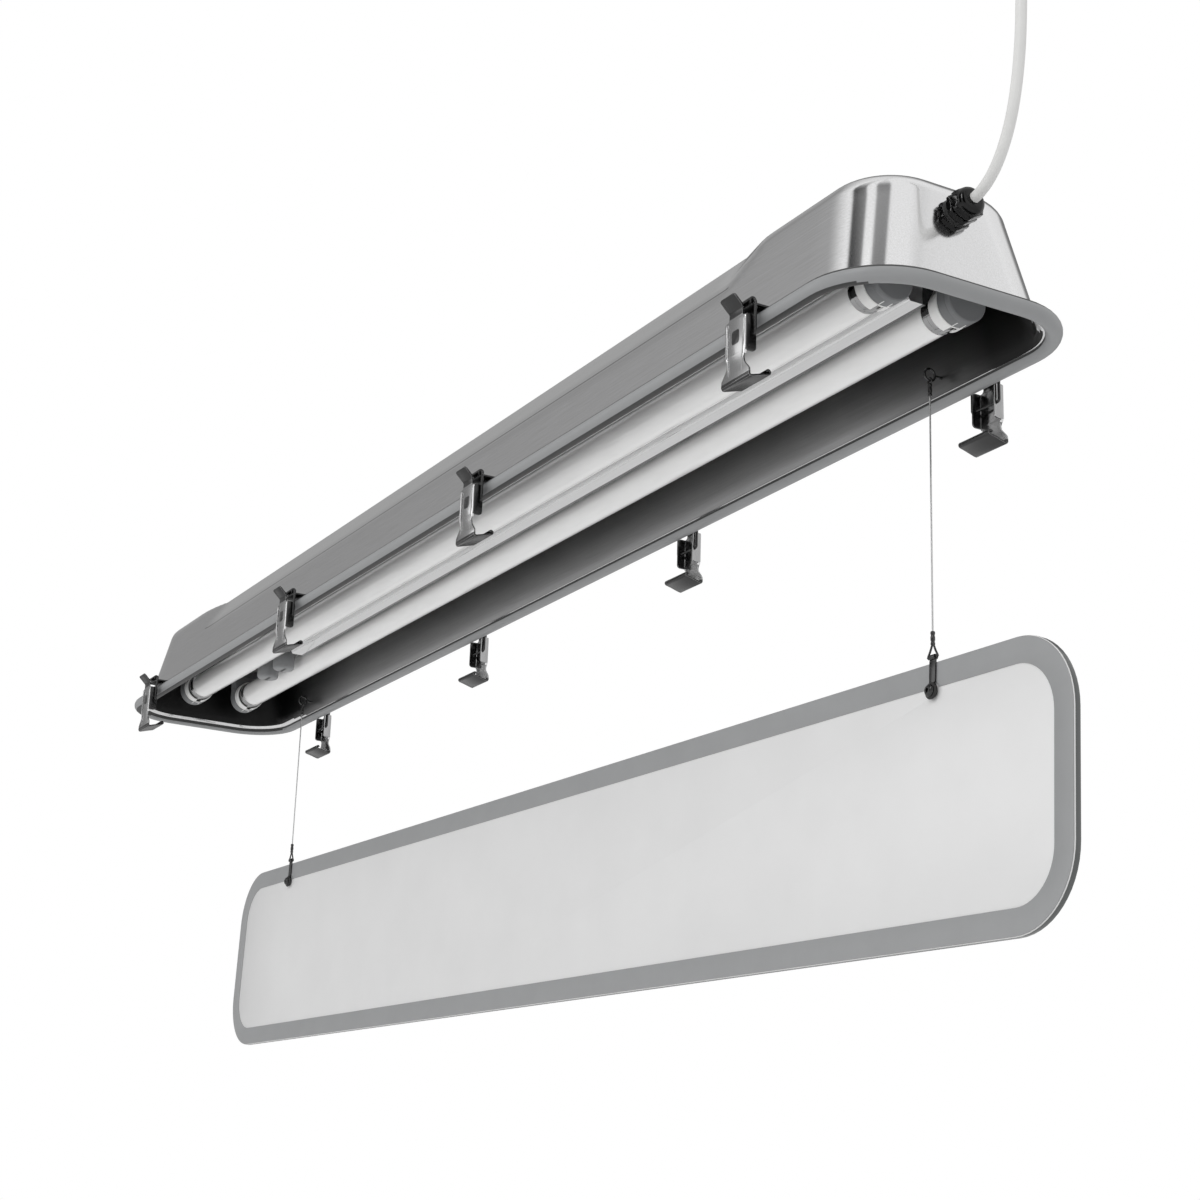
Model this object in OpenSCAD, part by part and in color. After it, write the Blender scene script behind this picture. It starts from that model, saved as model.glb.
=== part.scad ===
// Two-lamp stainless shop light, opened, with its cover hanging on two safety wires.
// Origin: centre of the flat top of the housing. +X is the cable end, +Z is up.

/* [Housing] */
// Distance from the end of a lamp to the end of the rim
end_room = 63.3; // [50:0.1:80]
// Width over the rim gasket
rim_w = 180; // [170:1:220]
// Height from the top of the housing to the underside of the gasket
housing_h = 90; // [84:1:120]
// Corner radius over the gasket
rim_r = 55; // [44:1:62]
// Thickness of the drawn steel sheet
sheet_t = 1.2; // [0.8:0.1:2]
// How far each long wall leans in towards the top
side_lean = 17.2; // [10:0.1:20]
// How far each end wall leans in towards the top
end_lean = 14.6; // [8:0.1:18]
// Radius of the drawn edge round the top
top_edge_r = 16; // [10:1:20]
// Distance from the gasket's edge in to the foot of the wall
wall_inset = 13.5; // [12:0.5:18]
// Distance from the side of the rim to the upper edge of a bevel
bevel_side = 44; // [40:1:50]
// Drop from the top to the lower edge of a bevel
bevel_drop = 30; // [20:1:36]
// Distance from each end of the rim to the full height of a bevel
bevel_end = 185; // [150:1:260]
// Length over which a bevel runs out
bevel_run_out = 60; // [40:1:90]

/* [Gasket] */
// Diameter of the gasket bead
gasket_d = 11; // [9:0.5:14]

/* [Lamps] */
// Length of a lamp without its pins
lamp_l = 1199.4; // [1190:0.1:1205]
// Diameter of a lamp
lamp_d = 26; // [25:0.5:30]
// Distance between the two lamp axes
lamp_pitch = 56.4; // [52:0.1:70]
// Height of the lamp axes above the underside of the gasket
lamp_h = 27; // [20:0.5:29]
// Thickness of a lamp's glass
lamp_wall = 0.8; // [0.6:0.1:1.2]
// Length of a lamp's end cap
cap_l = 18; // [12:1:22]
// Spacing of a lamp's two pins
pin_pitch = 12.7; // [12:0.1:13]
// Diameter of a lamp's pin
pin_d = 2.35; // [2:0.05:3]
// Length of a lamp's pin
pin_l = 7.1; // [6:0.1:8]

/* [Tray] */
// Height of the tray's wings above the underside of the gasket
tray_h = 48; // [44:1:52]
// Thickness of the tray's sheet
tray_t = 1; // [0.8:0.1:1.5]
// Height of the ridge's flat crest above the underside of the gasket
ridge_h = 22; // [20:1:30]
// Width of the ridge's flat crest
ridge_flat = 12.6; // [8:0.1:16]
// Half width of the ridge at its root
ridge_root = 19.6; // [17:0.1:22]
// Clear distance from each side of the rim to the tray
tray_side = 25; // [23:1:30]
// Clear distance from each end of the rim to the tray
tray_end = 39; // [30:1:50]
// Distance from the far end of the rim to the ridge, where the starters sit
ridge_start = 273; // [240:1:320]
// Distance from the near end of the rim to the ridge
ridge_stop = 63.5; // [48:0.5:70]

/* [Gland] */
// Diameter of the gland's thread
gland_d = 16; // [14:1:20]
// Width across the flats of the gland's hexagons
gland_af = 20; // [19:1:24]
// Drop from the top to the middle of the gland's hole
gland_drop = 23; // [22:1:30]
// Diameter of the supply lead
lead_d = 7; // [5:0.5:8]

/* [Clips] */
// Distance from each end of the rim to the first clip
clip_end = 115; // [90:0.5:160]
// Diameter of a clip's wire
bail_d = 2; // [1.6:0.1:2.6]
// Distance between the centre lines of a bail's legs
bail_w = 27; // [25:0.5:34]
// Height of a bail between its two pivots
bail_h = 23; // [18:0.5:26]
// Thickness of the clip's steel
clip_t = 1.2; // [0.8:0.1:1.5]
// Thickness of the clip's finger tab
tab_t = 1.5; // [1:0.1:3]
// Width of the clip's channel
channel_w = 23; // [18:0.5:24]
// Width of the clip's hook
hook_w = 31; // [20:1:34]
// Drop from a bail's lower pivot to the floor of the hook
hook_drop = 30; // [26:0.5:36]
// How far a hook reaches in from its web
hook_reach = 13; // [11:0.5:20]

/* [Cover] */
// How much shorter the cover is than the rim
cover_short = 8; // [0:1:12]
// How much narrower the cover is than the rim
cover_slim = 0; // [0:1:8]
// Thickness of the cover's glass
glass_t = 5; // [4:0.5:8]
// Corner radius of the cover
cover_r = 51; // [40:0.5:58]
// Width of the grey band round the glass
band_w = 17; // [12:1:24]
// Thickness of the grey band
band_t = 0.5; // [0.3:0.1:1]
// Angle at which the hanging cover settles
cover_tilt = 0.9; // [0:0.1:4]
// Angle by which the cover hangs lower at its near end
cover_roll = 1.2; // [0:0.1:2]
// Distance from the cover's edge to its bolts
bolt_inset = 19; // [16:0.5:24]

/* [Safety wires] */
// Distance from each end of the rim to a safety wire
wire_end = 133.6; // [125:0.1:155]
// Distance from the side of the rim in to the safety wires
wire_side = 26.4; // [25:0.1:28]
// Distance between the pivots at the two ends of a wire
wire_l = 178.4; // [150:0.1:400]
// Diameter of a safety wire
wire_d = 1.2; // [1:0.1:2]

/* [Mounting] */
// Distance from each end of the rim to a welded mounting nut
mount_end = 263; // [180:1:350]
// Diameter of the mounting screws
mount_d = 8; // [6:1:10]

/* [Hidden] */

// Colours, as the photograph shows them
steel_col = [0.72, 0.73, 0.74];
dark_steel_col = [0.35, 0.36, 0.37];
gasket_col = [0.55, 0.56, 0.57];
white_col = [0.93, 0.93, 0.92];
grey_col = [0.45, 0.46, 0.47];
rubber_col = [0.12, 0.12, 0.12];
lamp_col = [0.96, 0.96, 0.95];
cap_col = [0.6, 0.61, 0.62];
glass_col = [0.9, 0.92, 0.92];

// Running clearance of a pin in its hole, on the radius
pin_gap = 0.08;
// Gap that keeps two neighbouring pieces apart
part_gap = 0.3;
// How far a cut runs past what it cuts
over = 1;
round_fn = 48;
hull_fn = 32;
small_fn = 24;

// Sizes that follow the lamps and the rim
rim_l = lamp_l + 2 * end_room;
cover_l = rim_l - cover_short;
cover_w = rim_w - cover_slim;
clip_pitch = (rim_l - 2 * clip_end) / 3;
wire_pitch = rim_l - 2 * wire_end;
wire_y = rim_w / 2 - wire_side;
mount_pitch = rim_l - 2 * mount_end;
tray_w = rim_w - 2 * tray_side;
top_flat_w = rim_w - 2 * bevel_side;

// Levels, all measured down from the flat top
rim_z = -housing_h;
bead_z = rim_z + gasket_d / 2;
lamp_z = rim_z + lamp_h;
tray_z = rim_z + tray_h;
ridge_z = rim_z + ridge_h;
gland_z = -gland_drop;

// The flange round the foot of the housing, held in the gasket's slot
flange_inset = 4.5;
flange_z = bead_z - sheet_t / 2;
foot_l = rim_l - 2 * wall_inset;
foot_w = rim_w - 2 * wall_inset;
foot_r = rim_r - wall_inset;
wall_h = housing_h - gasket_d / 2;
end_angle = atan(end_lean / wall_h);
side_angle = atan(side_lean / wall_h);

// Wall position at a depth below the top, on a long side
function side_wall_y(depth) = foot_w / 2 - side_lean * (1 - depth / wall_h);

// Wall position at a depth below the top, on an end
function end_wall_x(depth) = foot_l / 2 - end_lean * (1 - depth / wall_h);

// Centre of the drawn edge's arc, along the light and across it
edge_x = end_wall_x(top_edge_r) - top_edge_r / cos(end_angle);
edge_y = side_wall_y(top_edge_r) - top_edge_r / cos(side_angle);

// Rounded slab with square edges, centred on the origin
module slab(l, w, r, h) {
    translate([-l / 2 + r, -w / 2, 0]) cube([l - 2 * r, w, h]);
    translate([-l / 2, -w / 2 + r, 0]) cube([l, w - 2 * r, h]);
    for (sx = [-1, 1], sy = [-1, 1])
        translate([sx * (l / 2 - r), sy * (w / 2 - r), 0]) cylinder(r = r, h = h, $fn = round_fn);
}

// Bar of round section along X
module bar_x(d, l) {
    rotate([0, 90, 0]) cylinder(d = d, h = l, center = true, $fn = small_fn);
}

// Hexagon along X, measured across its flats
module hex_x(af, l) {
    rotate([0, 90, 0]) cylinder(d = af / cos(30), h = l, $fn = 6);
}

// Ring of round section whose axis is X
module ring_x(ring_r, d) {
    rotate([0, 90, 0]) rotate_extrude($fn = small_fn) translate([ring_r, 0]) circle(d = d, $fn = small_fn);
}

// Puts a child at every corner of a rectangle
module corners(l, w) {
    for (sx = [-1, 1], sy = [-1, 1]) translate([sx * l / 2, sy * w / 2, 0]) children();
}

// The drawn trough as a solid, smaller by inset all round and below the top
module drawn_block(inset) {
    edge_r = top_edge_r - inset;
    turn_r = foot_r + 2 - top_edge_r;
    hull() {
        translate([0, 0, flange_z - (inset > 0 ? over : 0)])
            corners(foot_l - 2 * foot_r, foot_w - 2 * foot_r)
                cylinder(r = foot_r - inset, h = sheet_t, $fn = hull_fn);
        translate([0, 0, -top_edge_r]) corners(2 * (edge_x - turn_r), 2 * (edge_y - turn_r))
            rotate_extrude($fn = hull_fn) translate([turn_r, 0]) circle(r = edge_r, $fn = hull_fn);
    }
}

// A bevel's line across the light, from the flat top down to the long wall
bevel_top = [top_flat_w / 2, 0];
bevel_foot = [side_wall_y(bevel_drop), -bevel_drop];
bevel_dir = (bevel_foot - bevel_top) / norm(bevel_foot - bevel_top);
bevel_normal = [-bevel_dir[1], bevel_dir[0]];
bevel_reach = 6;
bevel_lift = 11;

// The wedge that cuts one bevel, shifted in by inset
module bevel_wedge(inset) {
    full_x = rim_l / 2 - bevel_end;
    out_x = full_x + bevel_run_out;
    low = bevel_foot + bevel_dir * bevel_reach - bevel_normal * inset;
    high = bevel_top - bevel_dir * bevel_reach - bevel_normal * inset;
    stations = [[-out_x, bevel_lift], [-full_x, 0], [full_x, 0], [out_x, bevel_lift]];
    far_out = bevel_normal * (bevel_lift + top_edge_r + housing_h);
    rings = [for (s = stations) [
        for (p = [low, high, high + far_out, low + far_out]) [s[0], p[0] + bevel_normal[0] * s[1],
            p[1] + bevel_normal[1] * s[1]]]];
    points = [for (r = rings) for (p = r) p];
    walls = [for (k = [0:2]) for (i = [0:3]) [4 * k + i, 4 * k + (i + 1) % 4,
        4 * k + 4 + (i + 1) % 4, 4 * k + 4 + i]];
    polyhedron(points, concat(walls, [[3, 2, 1, 0], [12, 13, 14, 15]]));
}

// The trough with its two long bevels, smaller by inset
module trough(inset) {
    difference() {
        drawn_block(inset);
        bevel_wedge(inset);
        mirror([0, 1, 0]) bevel_wedge(inset);
    }
}

// Puts a child on the gland's axis, which stands square to the leaning end wall
module gland_along(s) {
    translate([end_wall_x(gland_drop) + 0.1, 0, gland_z]) rotate([0, -end_angle, 0])
        translate([s, 0, 0]) children();
}

module housing_shell() {
    color(steel_col) difference() {
        union() {
            trough(0);
            translate([0, 0, flange_z]) slab(rim_l - 2 * flange_inset, rim_w - 2 * flange_inset,
                rim_r - flange_inset, sheet_t);
        }
        trough(sheet_t);
        gland_along(-gland_d) rotate([0, 90, 0])
            cylinder(d = gland_d + 2 * pin_gap, h = 2 * gland_d, $fn = round_fn);
        for (s = [-1, 1]) translate([s * mount_pitch / 2, 0, -sheet_t - over])
            cylinder(d = mount_d, h = sheet_t + 2 * over, $fn = round_fn);
    }
}

// One lap of a round bead at the rim, as straight runs and corners
module bead_loop(d) {
    in_r = rim_r - gasket_d / 2;
    run_x = rim_l - 2 * rim_r;
    run_y = rim_w - 2 * rim_r;
    for (s = [-1, 1]) {
        translate([0, s * (rim_w - gasket_d) / 2, 0]) rotate([0, 90, 0])
            cylinder(d = d, h = run_x, center = true, $fn = small_fn);
        translate([s * (rim_l - gasket_d) / 2, 0, 0]) rotate([90, 0, 0])
            cylinder(d = d, h = run_y, center = true, $fn = small_fn);
    }
    for (a = [0:3]) {
        sx = a == 0 || a == 3 ? 1 : -1;
        sy = a < 2 ? 1 : -1;
        translate([sx * run_x / 2, sy * run_y / 2, 0]) rotate([0, 0, 90 * a])
            rotate_extrude(angle = 90, $fn = round_fn) translate([in_r, 0]) circle(d = d, $fn = small_fn);
    }
}

module rim_gasket() {
    color(gasket_col) difference() {
        translate([0, 0, bead_z]) bead_loop(gasket_d);
        translate([0, 0, flange_z]) slab(rim_l - 2 * flange_inset, rim_w - 2 * flange_inset,
            rim_r - flange_inset, sheet_t);
    }
}

// Welded nuts under the top sheet, blind at the bottom
nut_d = mount_d * 2;
nut_h = 14;
nut_depth = 11;

module mount_nuts() {
    color(steel_col) for (s = [-1, 1]) translate([s * mount_pitch / 2, 0, -sheet_t - nut_h])
        difference() {
            cylinder(d = nut_d, h = nut_h, $fn = round_fn);
            translate([0, 0, nut_h - nut_depth]) cylinder(d = mount_d, h = nut_depth + over, $fn = round_fn);
        }
}

// Studs that carry the tray, welded under the top
stud_d = 5;
stud_end = 225;
stud_pitch = rim_l - 2 * stud_end;
stud_side = 26;
stud_y = tray_w / 2 - stud_side;
stud_proud = 7;
stud_nut_af = 8;
stud_nut_h = 4;

module tray_studs() {
    stud_l = -sheet_t - (tray_z - stud_proud);
    color(steel_col) translate([0, 0, tray_z - stud_proud]) corners(stud_pitch, 2 * stud_y)
        cylinder(d = stud_d, h = stud_l, $fn = small_fn);
}

module tray_nuts() {
    color(steel_col) translate([0, 0, tray_z - stud_nut_h]) corners(stud_pitch, 2 * stud_y)
        difference() {
            cylinder(d = stud_nut_af / cos(30), h = stud_nut_h, $fn = 6);
            translate([0, 0, -over])
                cylinder(d = stud_d + 2 * pin_gap, h = stud_nut_h + 2 * over, $fn = small_fn);
        }
}

// The tray's ridge between the lamps
tray_l = rim_l - 2 * tray_end;
tray_r = 34;
ridge_angle = atan((tray_z - ridge_z) / (ridge_root - ridge_flat / 2));
ridge_shift = tray_t * tan(ridge_angle / 2);
ridge_x0 = -rim_l / 2 + ridge_start;
ridge_x1 = rim_l / 2 - ridge_stop;

module ridge_profile() {
    half_out = [[ridge_root + ridge_shift, tray_z], [ridge_root, tray_z], [ridge_flat / 2, ridge_z]];
    half_in = [[ridge_flat / 2 - ridge_shift, ridge_z + tray_t], [ridge_root - ridge_shift, tray_z + tray_t],
        [ridge_root + ridge_shift, tray_z + tray_t]];
    flip = [for (p = concat(half_out, half_in)) [-p[0], p[1]]];
    polygon(concat(half_out, [for (i = [2:-1:0]) flip[i]], [for (i = [5:-1:3]) flip[i]], half_in));
}

module ridge_end() {
    polygon([[-ridge_root, tray_z + tray_t], [ridge_root, tray_z + tray_t], [ridge_root, tray_z],
        [ridge_flat / 2, ridge_z], [-ridge_flat / 2, ridge_z], [-ridge_root, tray_z]]);
}

// Extrudes a section drawn across the light from x0 to x1
module along_x(x0, x1) {
    translate([x0, 0, 0]) rotate([90, 0, 90]) linear_extrude(x1 - x0) children();
}

module gear_tray() {
    color(white_col) difference() {
        union() {
            difference() {
                translate([0, 0, tray_z]) slab(tray_l, tray_w, tray_r, tray_t);
                translate([ridge_x0, -ridge_root, tray_z - over])
                    cube([ridge_x1 - ridge_x0, 2 * ridge_root, tray_t + 2 * over]);
            }
            along_x(ridge_x0, ridge_x1) ridge_profile();
            along_x(ridge_x0, ridge_x0 + tray_t) ridge_end();
            along_x(ridge_x1 - tray_t, ridge_x1) ridge_end();
        }
        translate([0, 0, tray_z - over]) corners(stud_pitch, 2 * stud_y)
            cylinder(d = stud_d + 2 * pin_gap, h = tray_t + 2 * over, $fn = small_fn);
    }
}

// Control gear on the upper face of the tray
ballast_l = 150;
ballast_w = 41;
gear_headroom = 11.8;
gear_z = tray_z + tray_t;
gear_h = -gear_z - sheet_t - gear_headroom;
ballast_h = gear_h;
ballast_foot_l = 20;
ballast_foot_t = 1.5;
// Width of the gear's feet, which bridge the ridge's channel
gear_foot_w = 2 * ridge_root + 14;
capacitor_l = 66;
gear_gap = 82;
capacitor_x = 20;
ballast_x = capacitor_x + capacitor_l / 2 + gear_gap + ballast_l / 2;

module ballast(x) {
    color(dark_steel_col) translate([x, 0, gear_z]) {
        translate([-ballast_l / 2, -ballast_w / 2, 0]) cube([ballast_l, ballast_w, ballast_h]);
        translate([-ballast_l / 2 - ballast_foot_l, -gear_foot_w / 2, 0])
            cube([ballast_l + 2 * ballast_foot_l, gear_foot_w, ballast_foot_t]);
        for (s = [-1, 1]) translate([s * (ballast_l + ballast_foot_l) / 2, s * (ridge_root + 2), ballast_foot_t])
            cylinder(d = stud_d + 1, h = stud_d / 2, $fn = small_fn);
    }
}

capacitor_d = gear_h;
capacitor_saddle = 4;

module capacitor() {
    color(white_col) translate([capacitor_x, 0, gear_z]) {
        translate([-capacitor_l / 2, 0, capacitor_d / 2 + capacitor_saddle / 2])
            rotate([0, 90, 0]) cylinder(d = capacitor_d, h = capacitor_l, $fn = round_fn);
        translate([-capacitor_l / 4, -gear_foot_w / 2, 0]) cube([capacitor_l / 2, gear_foot_w, capacitor_saddle]);
        translate([-capacitor_l / 4, -capacitor_d / 4, 0])
            cube([capacitor_l / 2, capacitor_d / 2, capacitor_saddle + capacitor_d / 4]);
    }
}

terminal_l = 18;
terminal_w = 2 * ridge_root + 12;
terminal_h = gear_h - 10;
terminal_end = 135;
terminal_x = rim_l / 2 - terminal_end;
core_d = 1.8;
core_pitch = 8;

module terminal_block() {
    color(white_col) translate([terminal_x, 0, gear_z + terminal_h / 2]) difference() {
        cube([terminal_l, terminal_w, terminal_h], center = true);
        for (i = [-1, 0, 1]) translate([0, i * core_pitch, 0]) {
            rotate([0, 90, 0]) cylinder(d = core_d + 2 * pin_gap, h = terminal_l + 2 * over,
                center = true, $fn = small_fn);
            cylinder(d = core_d * 1.6, h = terminal_h / 2 + over, $fn = small_fn);
        }
    }
}

// Two wires from the terminal block along the tray to the ballasts
harness_y = 18.5;

module gear_wiring() {
    near_end = terminal_x - terminal_l / 2;
    ballast_end = ballast_x + ballast_l / 2;
    color(grey_col) for (s = [-1, 1]) {
        translate([(near_end + ballast_end) / 2, s * core_pitch, gear_z + terminal_h / 2])
            bar_x(core_d, near_end - ballast_end);
        translate([-ballast_x + ballast_l / 2, s * harness_y, gear_z + ballast_h / 3]) rotate([0, 90, 0])
            cylinder(d = core_d, h = 2 * ballast_x - ballast_l, $fn = small_fn);
    }
}

// Lampholders: a grey block with a round foot on each lamp axis
holder_w = 30;
holder_t = 12;
holder_x = lamp_l / 2 + 0.5;
rotor_d = 20;
rotor_t = 6;
collar_l = 9;
collar_wall = 1.4;
collar_lap = 8;

// Runs its children at all four lamp ends, turned so that +X points outwards
module lamp_ends() {
    for (sx = [-1, 1], sy = [-1, 1]) translate([0, sy * lamp_pitch / 2, lamp_z])
        rotate([0, 0, sx > 0 ? 0 : 180]) children();
}

module lampholders() {
    color(grey_col) lamp_ends() translate([holder_x, 0, 0]) difference() {
        union() {
            rotate([0, 90, 0]) cylinder(d = holder_w, h = holder_t, $fn = round_fn);
            translate([0, -holder_w / 2, 0]) cube([holder_t, holder_w, tray_z - lamp_z]);
        }
        translate([-over, 0, 0]) rotate([0, 90, 0])
            cylinder(d = rotor_d + 2 * part_gap, h = pin_l + part_gap + over, $fn = round_fn);
    }
}

module lampholder_collars() {
    collar_in = lamp_d + 2 * part_gap;
    color(white_col) lamp_ends() translate([holder_x - collar_l, 0, 0]) difference() {
        rotate([0, 90, 0]) cylinder(d = collar_in + 2 * collar_wall, h = collar_l, $fn = round_fn);
        translate([-over, 0, 0]) rotate([0, 90, 0])
            cylinder(d = collar_in, h = collar_l + 2 * over, $fn = round_fn);
        translate([-over, -pin_d, -collar_in]) cube([collar_l - collar_wall + over, 2 * pin_d, collar_in]);
    }
}

// Starters between the lamps, past the far end of the ridge
starter_d = 21.5;
starter_h = 24;
starter_pitch = 42;
starter_gap = 38;
starter_x = ridge_x0 - starter_gap;
socket_d = 28;
socket_h = 9;
starter_neck_d = 15;
starter_neck_h = 4;

module at_starter(i) {
    translate([starter_x - i * starter_pitch, 0, tray_z]) children();
}

module starter_sockets() {
    color(white_col) for (i = [0, 1]) at_starter(i) difference() {
        translate([0, 0, -socket_h]) cylinder(d = socket_d, h = socket_h, $fn = round_fn);
        translate([0, 0, -socket_h - over])
            cylinder(d = starter_neck_d + 2 * part_gap, h = starter_neck_h + part_gap + over, $fn = round_fn);
    }
}

module starter(i) {
    color(grey_col) at_starter(i) {
        translate([0, 0, -socket_h - part_gap - starter_h]) cylinder(d = starter_d, h = starter_h, $fn = round_fn);
        translate([0, 0, -socket_h - part_gap])
            cylinder(d = starter_neck_d, h = starter_neck_h + part_gap - pin_gap, $fn = round_fn);
    }
}

// Lamps. side is -1 for the left lamp and 1 for the right one
module at_lamp(side) {
    translate([0, side * lamp_pitch / 2, lamp_z]) children();
}

module lamp_glass(side) {
    tube_d = lamp_d - 0.4;
    color(lamp_col) at_lamp(side) difference() {
        rotate([0, 90, 0]) cylinder(d = tube_d, h = lamp_l - 2 * cap_l, center = true, $fn = round_fn);
        rotate([0, 90, 0]) cylinder(d = tube_d - 2 * lamp_wall, h = lamp_l, center = true, $fn = round_fn);
    }
}

module lamp_caps(side) {
    color(cap_col) at_lamp(side) for (a = [0, 180]) rotate([0, 0, a]) {
        translate([lamp_l / 2 - cap_l, 0, 0]) rotate([0, 90, 0])
            cylinder(d = lamp_d, h = cap_l, $fn = round_fn);
        for (s = [-1, 1]) translate([lamp_l / 2, 0, s * pin_pitch / 2]) rotate([0, 90, 0])
            cylinder(d = pin_d, h = pin_l, $fn = small_fn);
    }
}

module lamp_rotors(side) {
    color(white_col) at_lamp(side) for (a = [0, 180]) rotate([0, 0, a])
        translate([lamp_l / 2, 0, 0]) difference() {
            rotate([0, 90, 0]) cylinder(d = rotor_d, h = rotor_t, $fn = round_fn);
            for (s = [-1, 1]) translate([-over, 0, s * pin_pitch / 2]) rotate([0, 90, 0])
                cylinder(d = pin_d + 2 * pin_gap, h = rotor_t + 2 * over, $fn = small_fn);
        }
}

// Cable gland, measured out from the end wall
washer_t = 1.5;
hex_l = 4.5;
hex_s = washer_t;
neck_l = 6;
neck_d = gland_d - 1;
dome_s = hex_s + hex_l + 0.4;
dome_hex_l = 5.5;
dome_l = 10;
gland_end_s = dome_s + dome_l;
thread_tail = 9;
locknut_t = 4;
locknut_s = -sheet_t - 0.3 - locknut_t;
bore_d = lead_d + 2 * pin_gap;
insert_d = lead_d + 4;

// Ring or tube on the gland's axis, from s over length l
module gland_ring(s, l, outer_d, inner_d) {
    gland_along(s) difference() {
        rotate([0, 90, 0]) cylinder(d = outer_d, h = l, $fn = round_fn);
        translate([-over, 0, 0]) rotate([0, 90, 0]) cylinder(d = inner_d, h = l + 2 * over, $fn = round_fn);
    }
}

module gland_washer() {
    color(rubber_col) gland_ring(0, washer_t, gland_af + 0.5, gland_d + 2 * pin_gap);
}

module gland_body() {
    color(dark_steel_col) gland_along(hex_s) difference() {
        union() {
            hex_x(gland_af, hex_l);
            translate([-thread_tail, 0, 0]) rotate([0, 90, 0])
                cylinder(d = gland_d, h = thread_tail + over, $fn = round_fn);
            rotate([0, 90, 0]) cylinder(d = neck_d, h = hex_l + neck_l, $fn = round_fn);
        }
        translate([-thread_tail - over, 0, 0]) rotate([0, 90, 0]) cylinder(d = insert_d + 2 * pin_gap,
            h = thread_tail + hex_l + neck_l + 2 * over, $fn = round_fn);
    }
}

module gland_insert() {
    color(rubber_col) gland_ring(hex_s + hex_l, neck_l, insert_d, bore_d);
}

module gland_dome_nut() {
    mouth_r = lead_d / 2 + 2;
    dome_r = gland_af / 2 - 0.3;
    steps = 8;
    arc = [for (i = [0:steps]) [mouth_r + (dome_r - mouth_r) * cos(90 * i / steps),
        dome_hex_l + (dome_l - dome_hex_l) * sin(90 * i / steps)]];
    color(dark_steel_col) gland_along(dome_s) difference() {
        union() {
            hex_x(gland_af, dome_hex_l);
            rotate([0, 90, 0]) rotate_extrude($fn = round_fn)
                polygon(concat([[0, 0], [dome_r, 0]], arc, [[0, dome_l]]));
        }
        translate([-over, 0, 0]) rotate([0, 90, 0]) cylinder(d = neck_d + 2 * pin_gap,
            h = neck_l - 0.3 + over, $fn = round_fn);
        translate([-over, 0, 0]) rotate([0, 90, 0]) cylinder(d = bore_d, h = dome_l + 2 * over, $fn = round_fn);
    }
}

module gland_locknut() {
    color(dark_steel_col) gland_along(locknut_s) difference() {
        hex_x(gland_d + 3, locknut_t);
        translate([-over, 0, 0]) rotate([0, 90, 0])
            cylinder(d = gland_d + 2 * pin_gap, h = locknut_t + 2 * over, $fn = round_fn);
    }
}

// The lead inside the light: its sheath through the gland, then three cores to the terminal block
sheath_back = 30;

// Point on the gland's axis
function gland_point(s) = [end_wall_x(gland_drop) + 0.1 + s * cos(end_angle), 0,
    gland_z + s * sin(end_angle)];

module supply_tail() {
    core_z = gear_z + terminal_h / 2;
    color(white_col) {
        gland_along(-sheath_back) rotate([0, 90, 0])
            cylinder(d = lead_d, h = gland_end_s + sheath_back, $fn = round_fn);
        for (i = [-1, 0, 1]) {
            start = gland_point(-sheath_back + 2 * over) + [0, i * lead_d / 4, 0];
            bend = [terminal_x + terminal_l, i * core_pitch, core_z];
            stop = [terminal_x, i * core_pitch, core_z];
            rod(start, bend, core_d);
            rod(bend, stop, core_d);
            translate(bend) sphere(d = core_d * 1.2, $fn = small_fn);
        }
    }
}

// Straight round rod between two points
module rod(a, b, d) {
    v = b - a;
    translate(a) rotate([0, acos(v[2] / norm(v)), atan2(v[1], v[0])])
        cylinder(d = d, h = norm(v), $fn = small_fn);
}

// The supply lead's free run from the dome nut's mouth up to where it is held above the light
lead_route = [[5.5, 0, 1.7], [11.9, 0, 5], [18.1, 0, 10], [23.5, 0, 16.3], [28.3, 0, 23.8],
    [32.5, 0, 32.2], [36.1, 0, 41.7], [39.1, 0, 52.2], [41.6, 0, 63.7], [43.6, 0, 76.2], [45.1, 0, 89.7],
    [46.1, 0, 104.2], [46.7, 0, 119.2], [46.9, 0, 134.2], [46.9, 0, 150.2]];
lead_sides = 12;
lead_mouth = gland_point(gland_end_s);
lead_points = concat([lead_mouth], [for (p = lead_route) lead_mouth + p]);

// Tube of round section swept along points that lie in a plane across Y
module plane_tube(points, d, sides) {
    n = len(points);
    rings = [for (i = [0:n - 1]) let (
        a = points[max(i - 1, 0)], b = points[min(i + 1, n - 1)],
        t = i == 0 ? [cos(end_angle), 0, sin(end_angle)] : (b - a) / norm(b - a),
        u = [0, 1, 0], w = cross(t, u))
        [for (k = [0:sides - 1]) points[i] + d / 2 * (cos(360 * k / sides) * u + sin(360 * k / sides) * w)]];
    verts = [for (r = rings) for (p = r) p];
    walls = [for (i = [0:n - 2]) for (k = [0:sides - 1]) [i * sides + k, i * sides + (k + 1) % sides,
        (i + 1) * sides + (k + 1) % sides, (i + 1) * sides + k]];
    polyhedron(verts, concat(walls, [[for (k = [sides - 1:-1:0]) k]],
        [[for (k = [0:sides - 1]) (n - 1) * sides + k]]));
}

module supply_lead() {
    color(white_col) plane_tube(lead_points, lead_d, lead_sides);
}

// Three cores with crimped ferrules at the top of the lead
core_show = 12;
ferrule_l = 9;

module lead_cores() {
    lead_top = lead_points[len(lead_points) - 1];
    color(grey_col) for (a = [0, 120, 240]) translate(lead_top + [cos(a) * lead_d / 4, sin(a) * lead_d / 4, 0]) {
        cylinder(d = core_d, h = core_show, $fn = small_fn);
        translate([0, 0, core_show]) cylinder(d = core_d * 0.8, h = ferrule_l, $fn = small_fn);
    }
}

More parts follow.
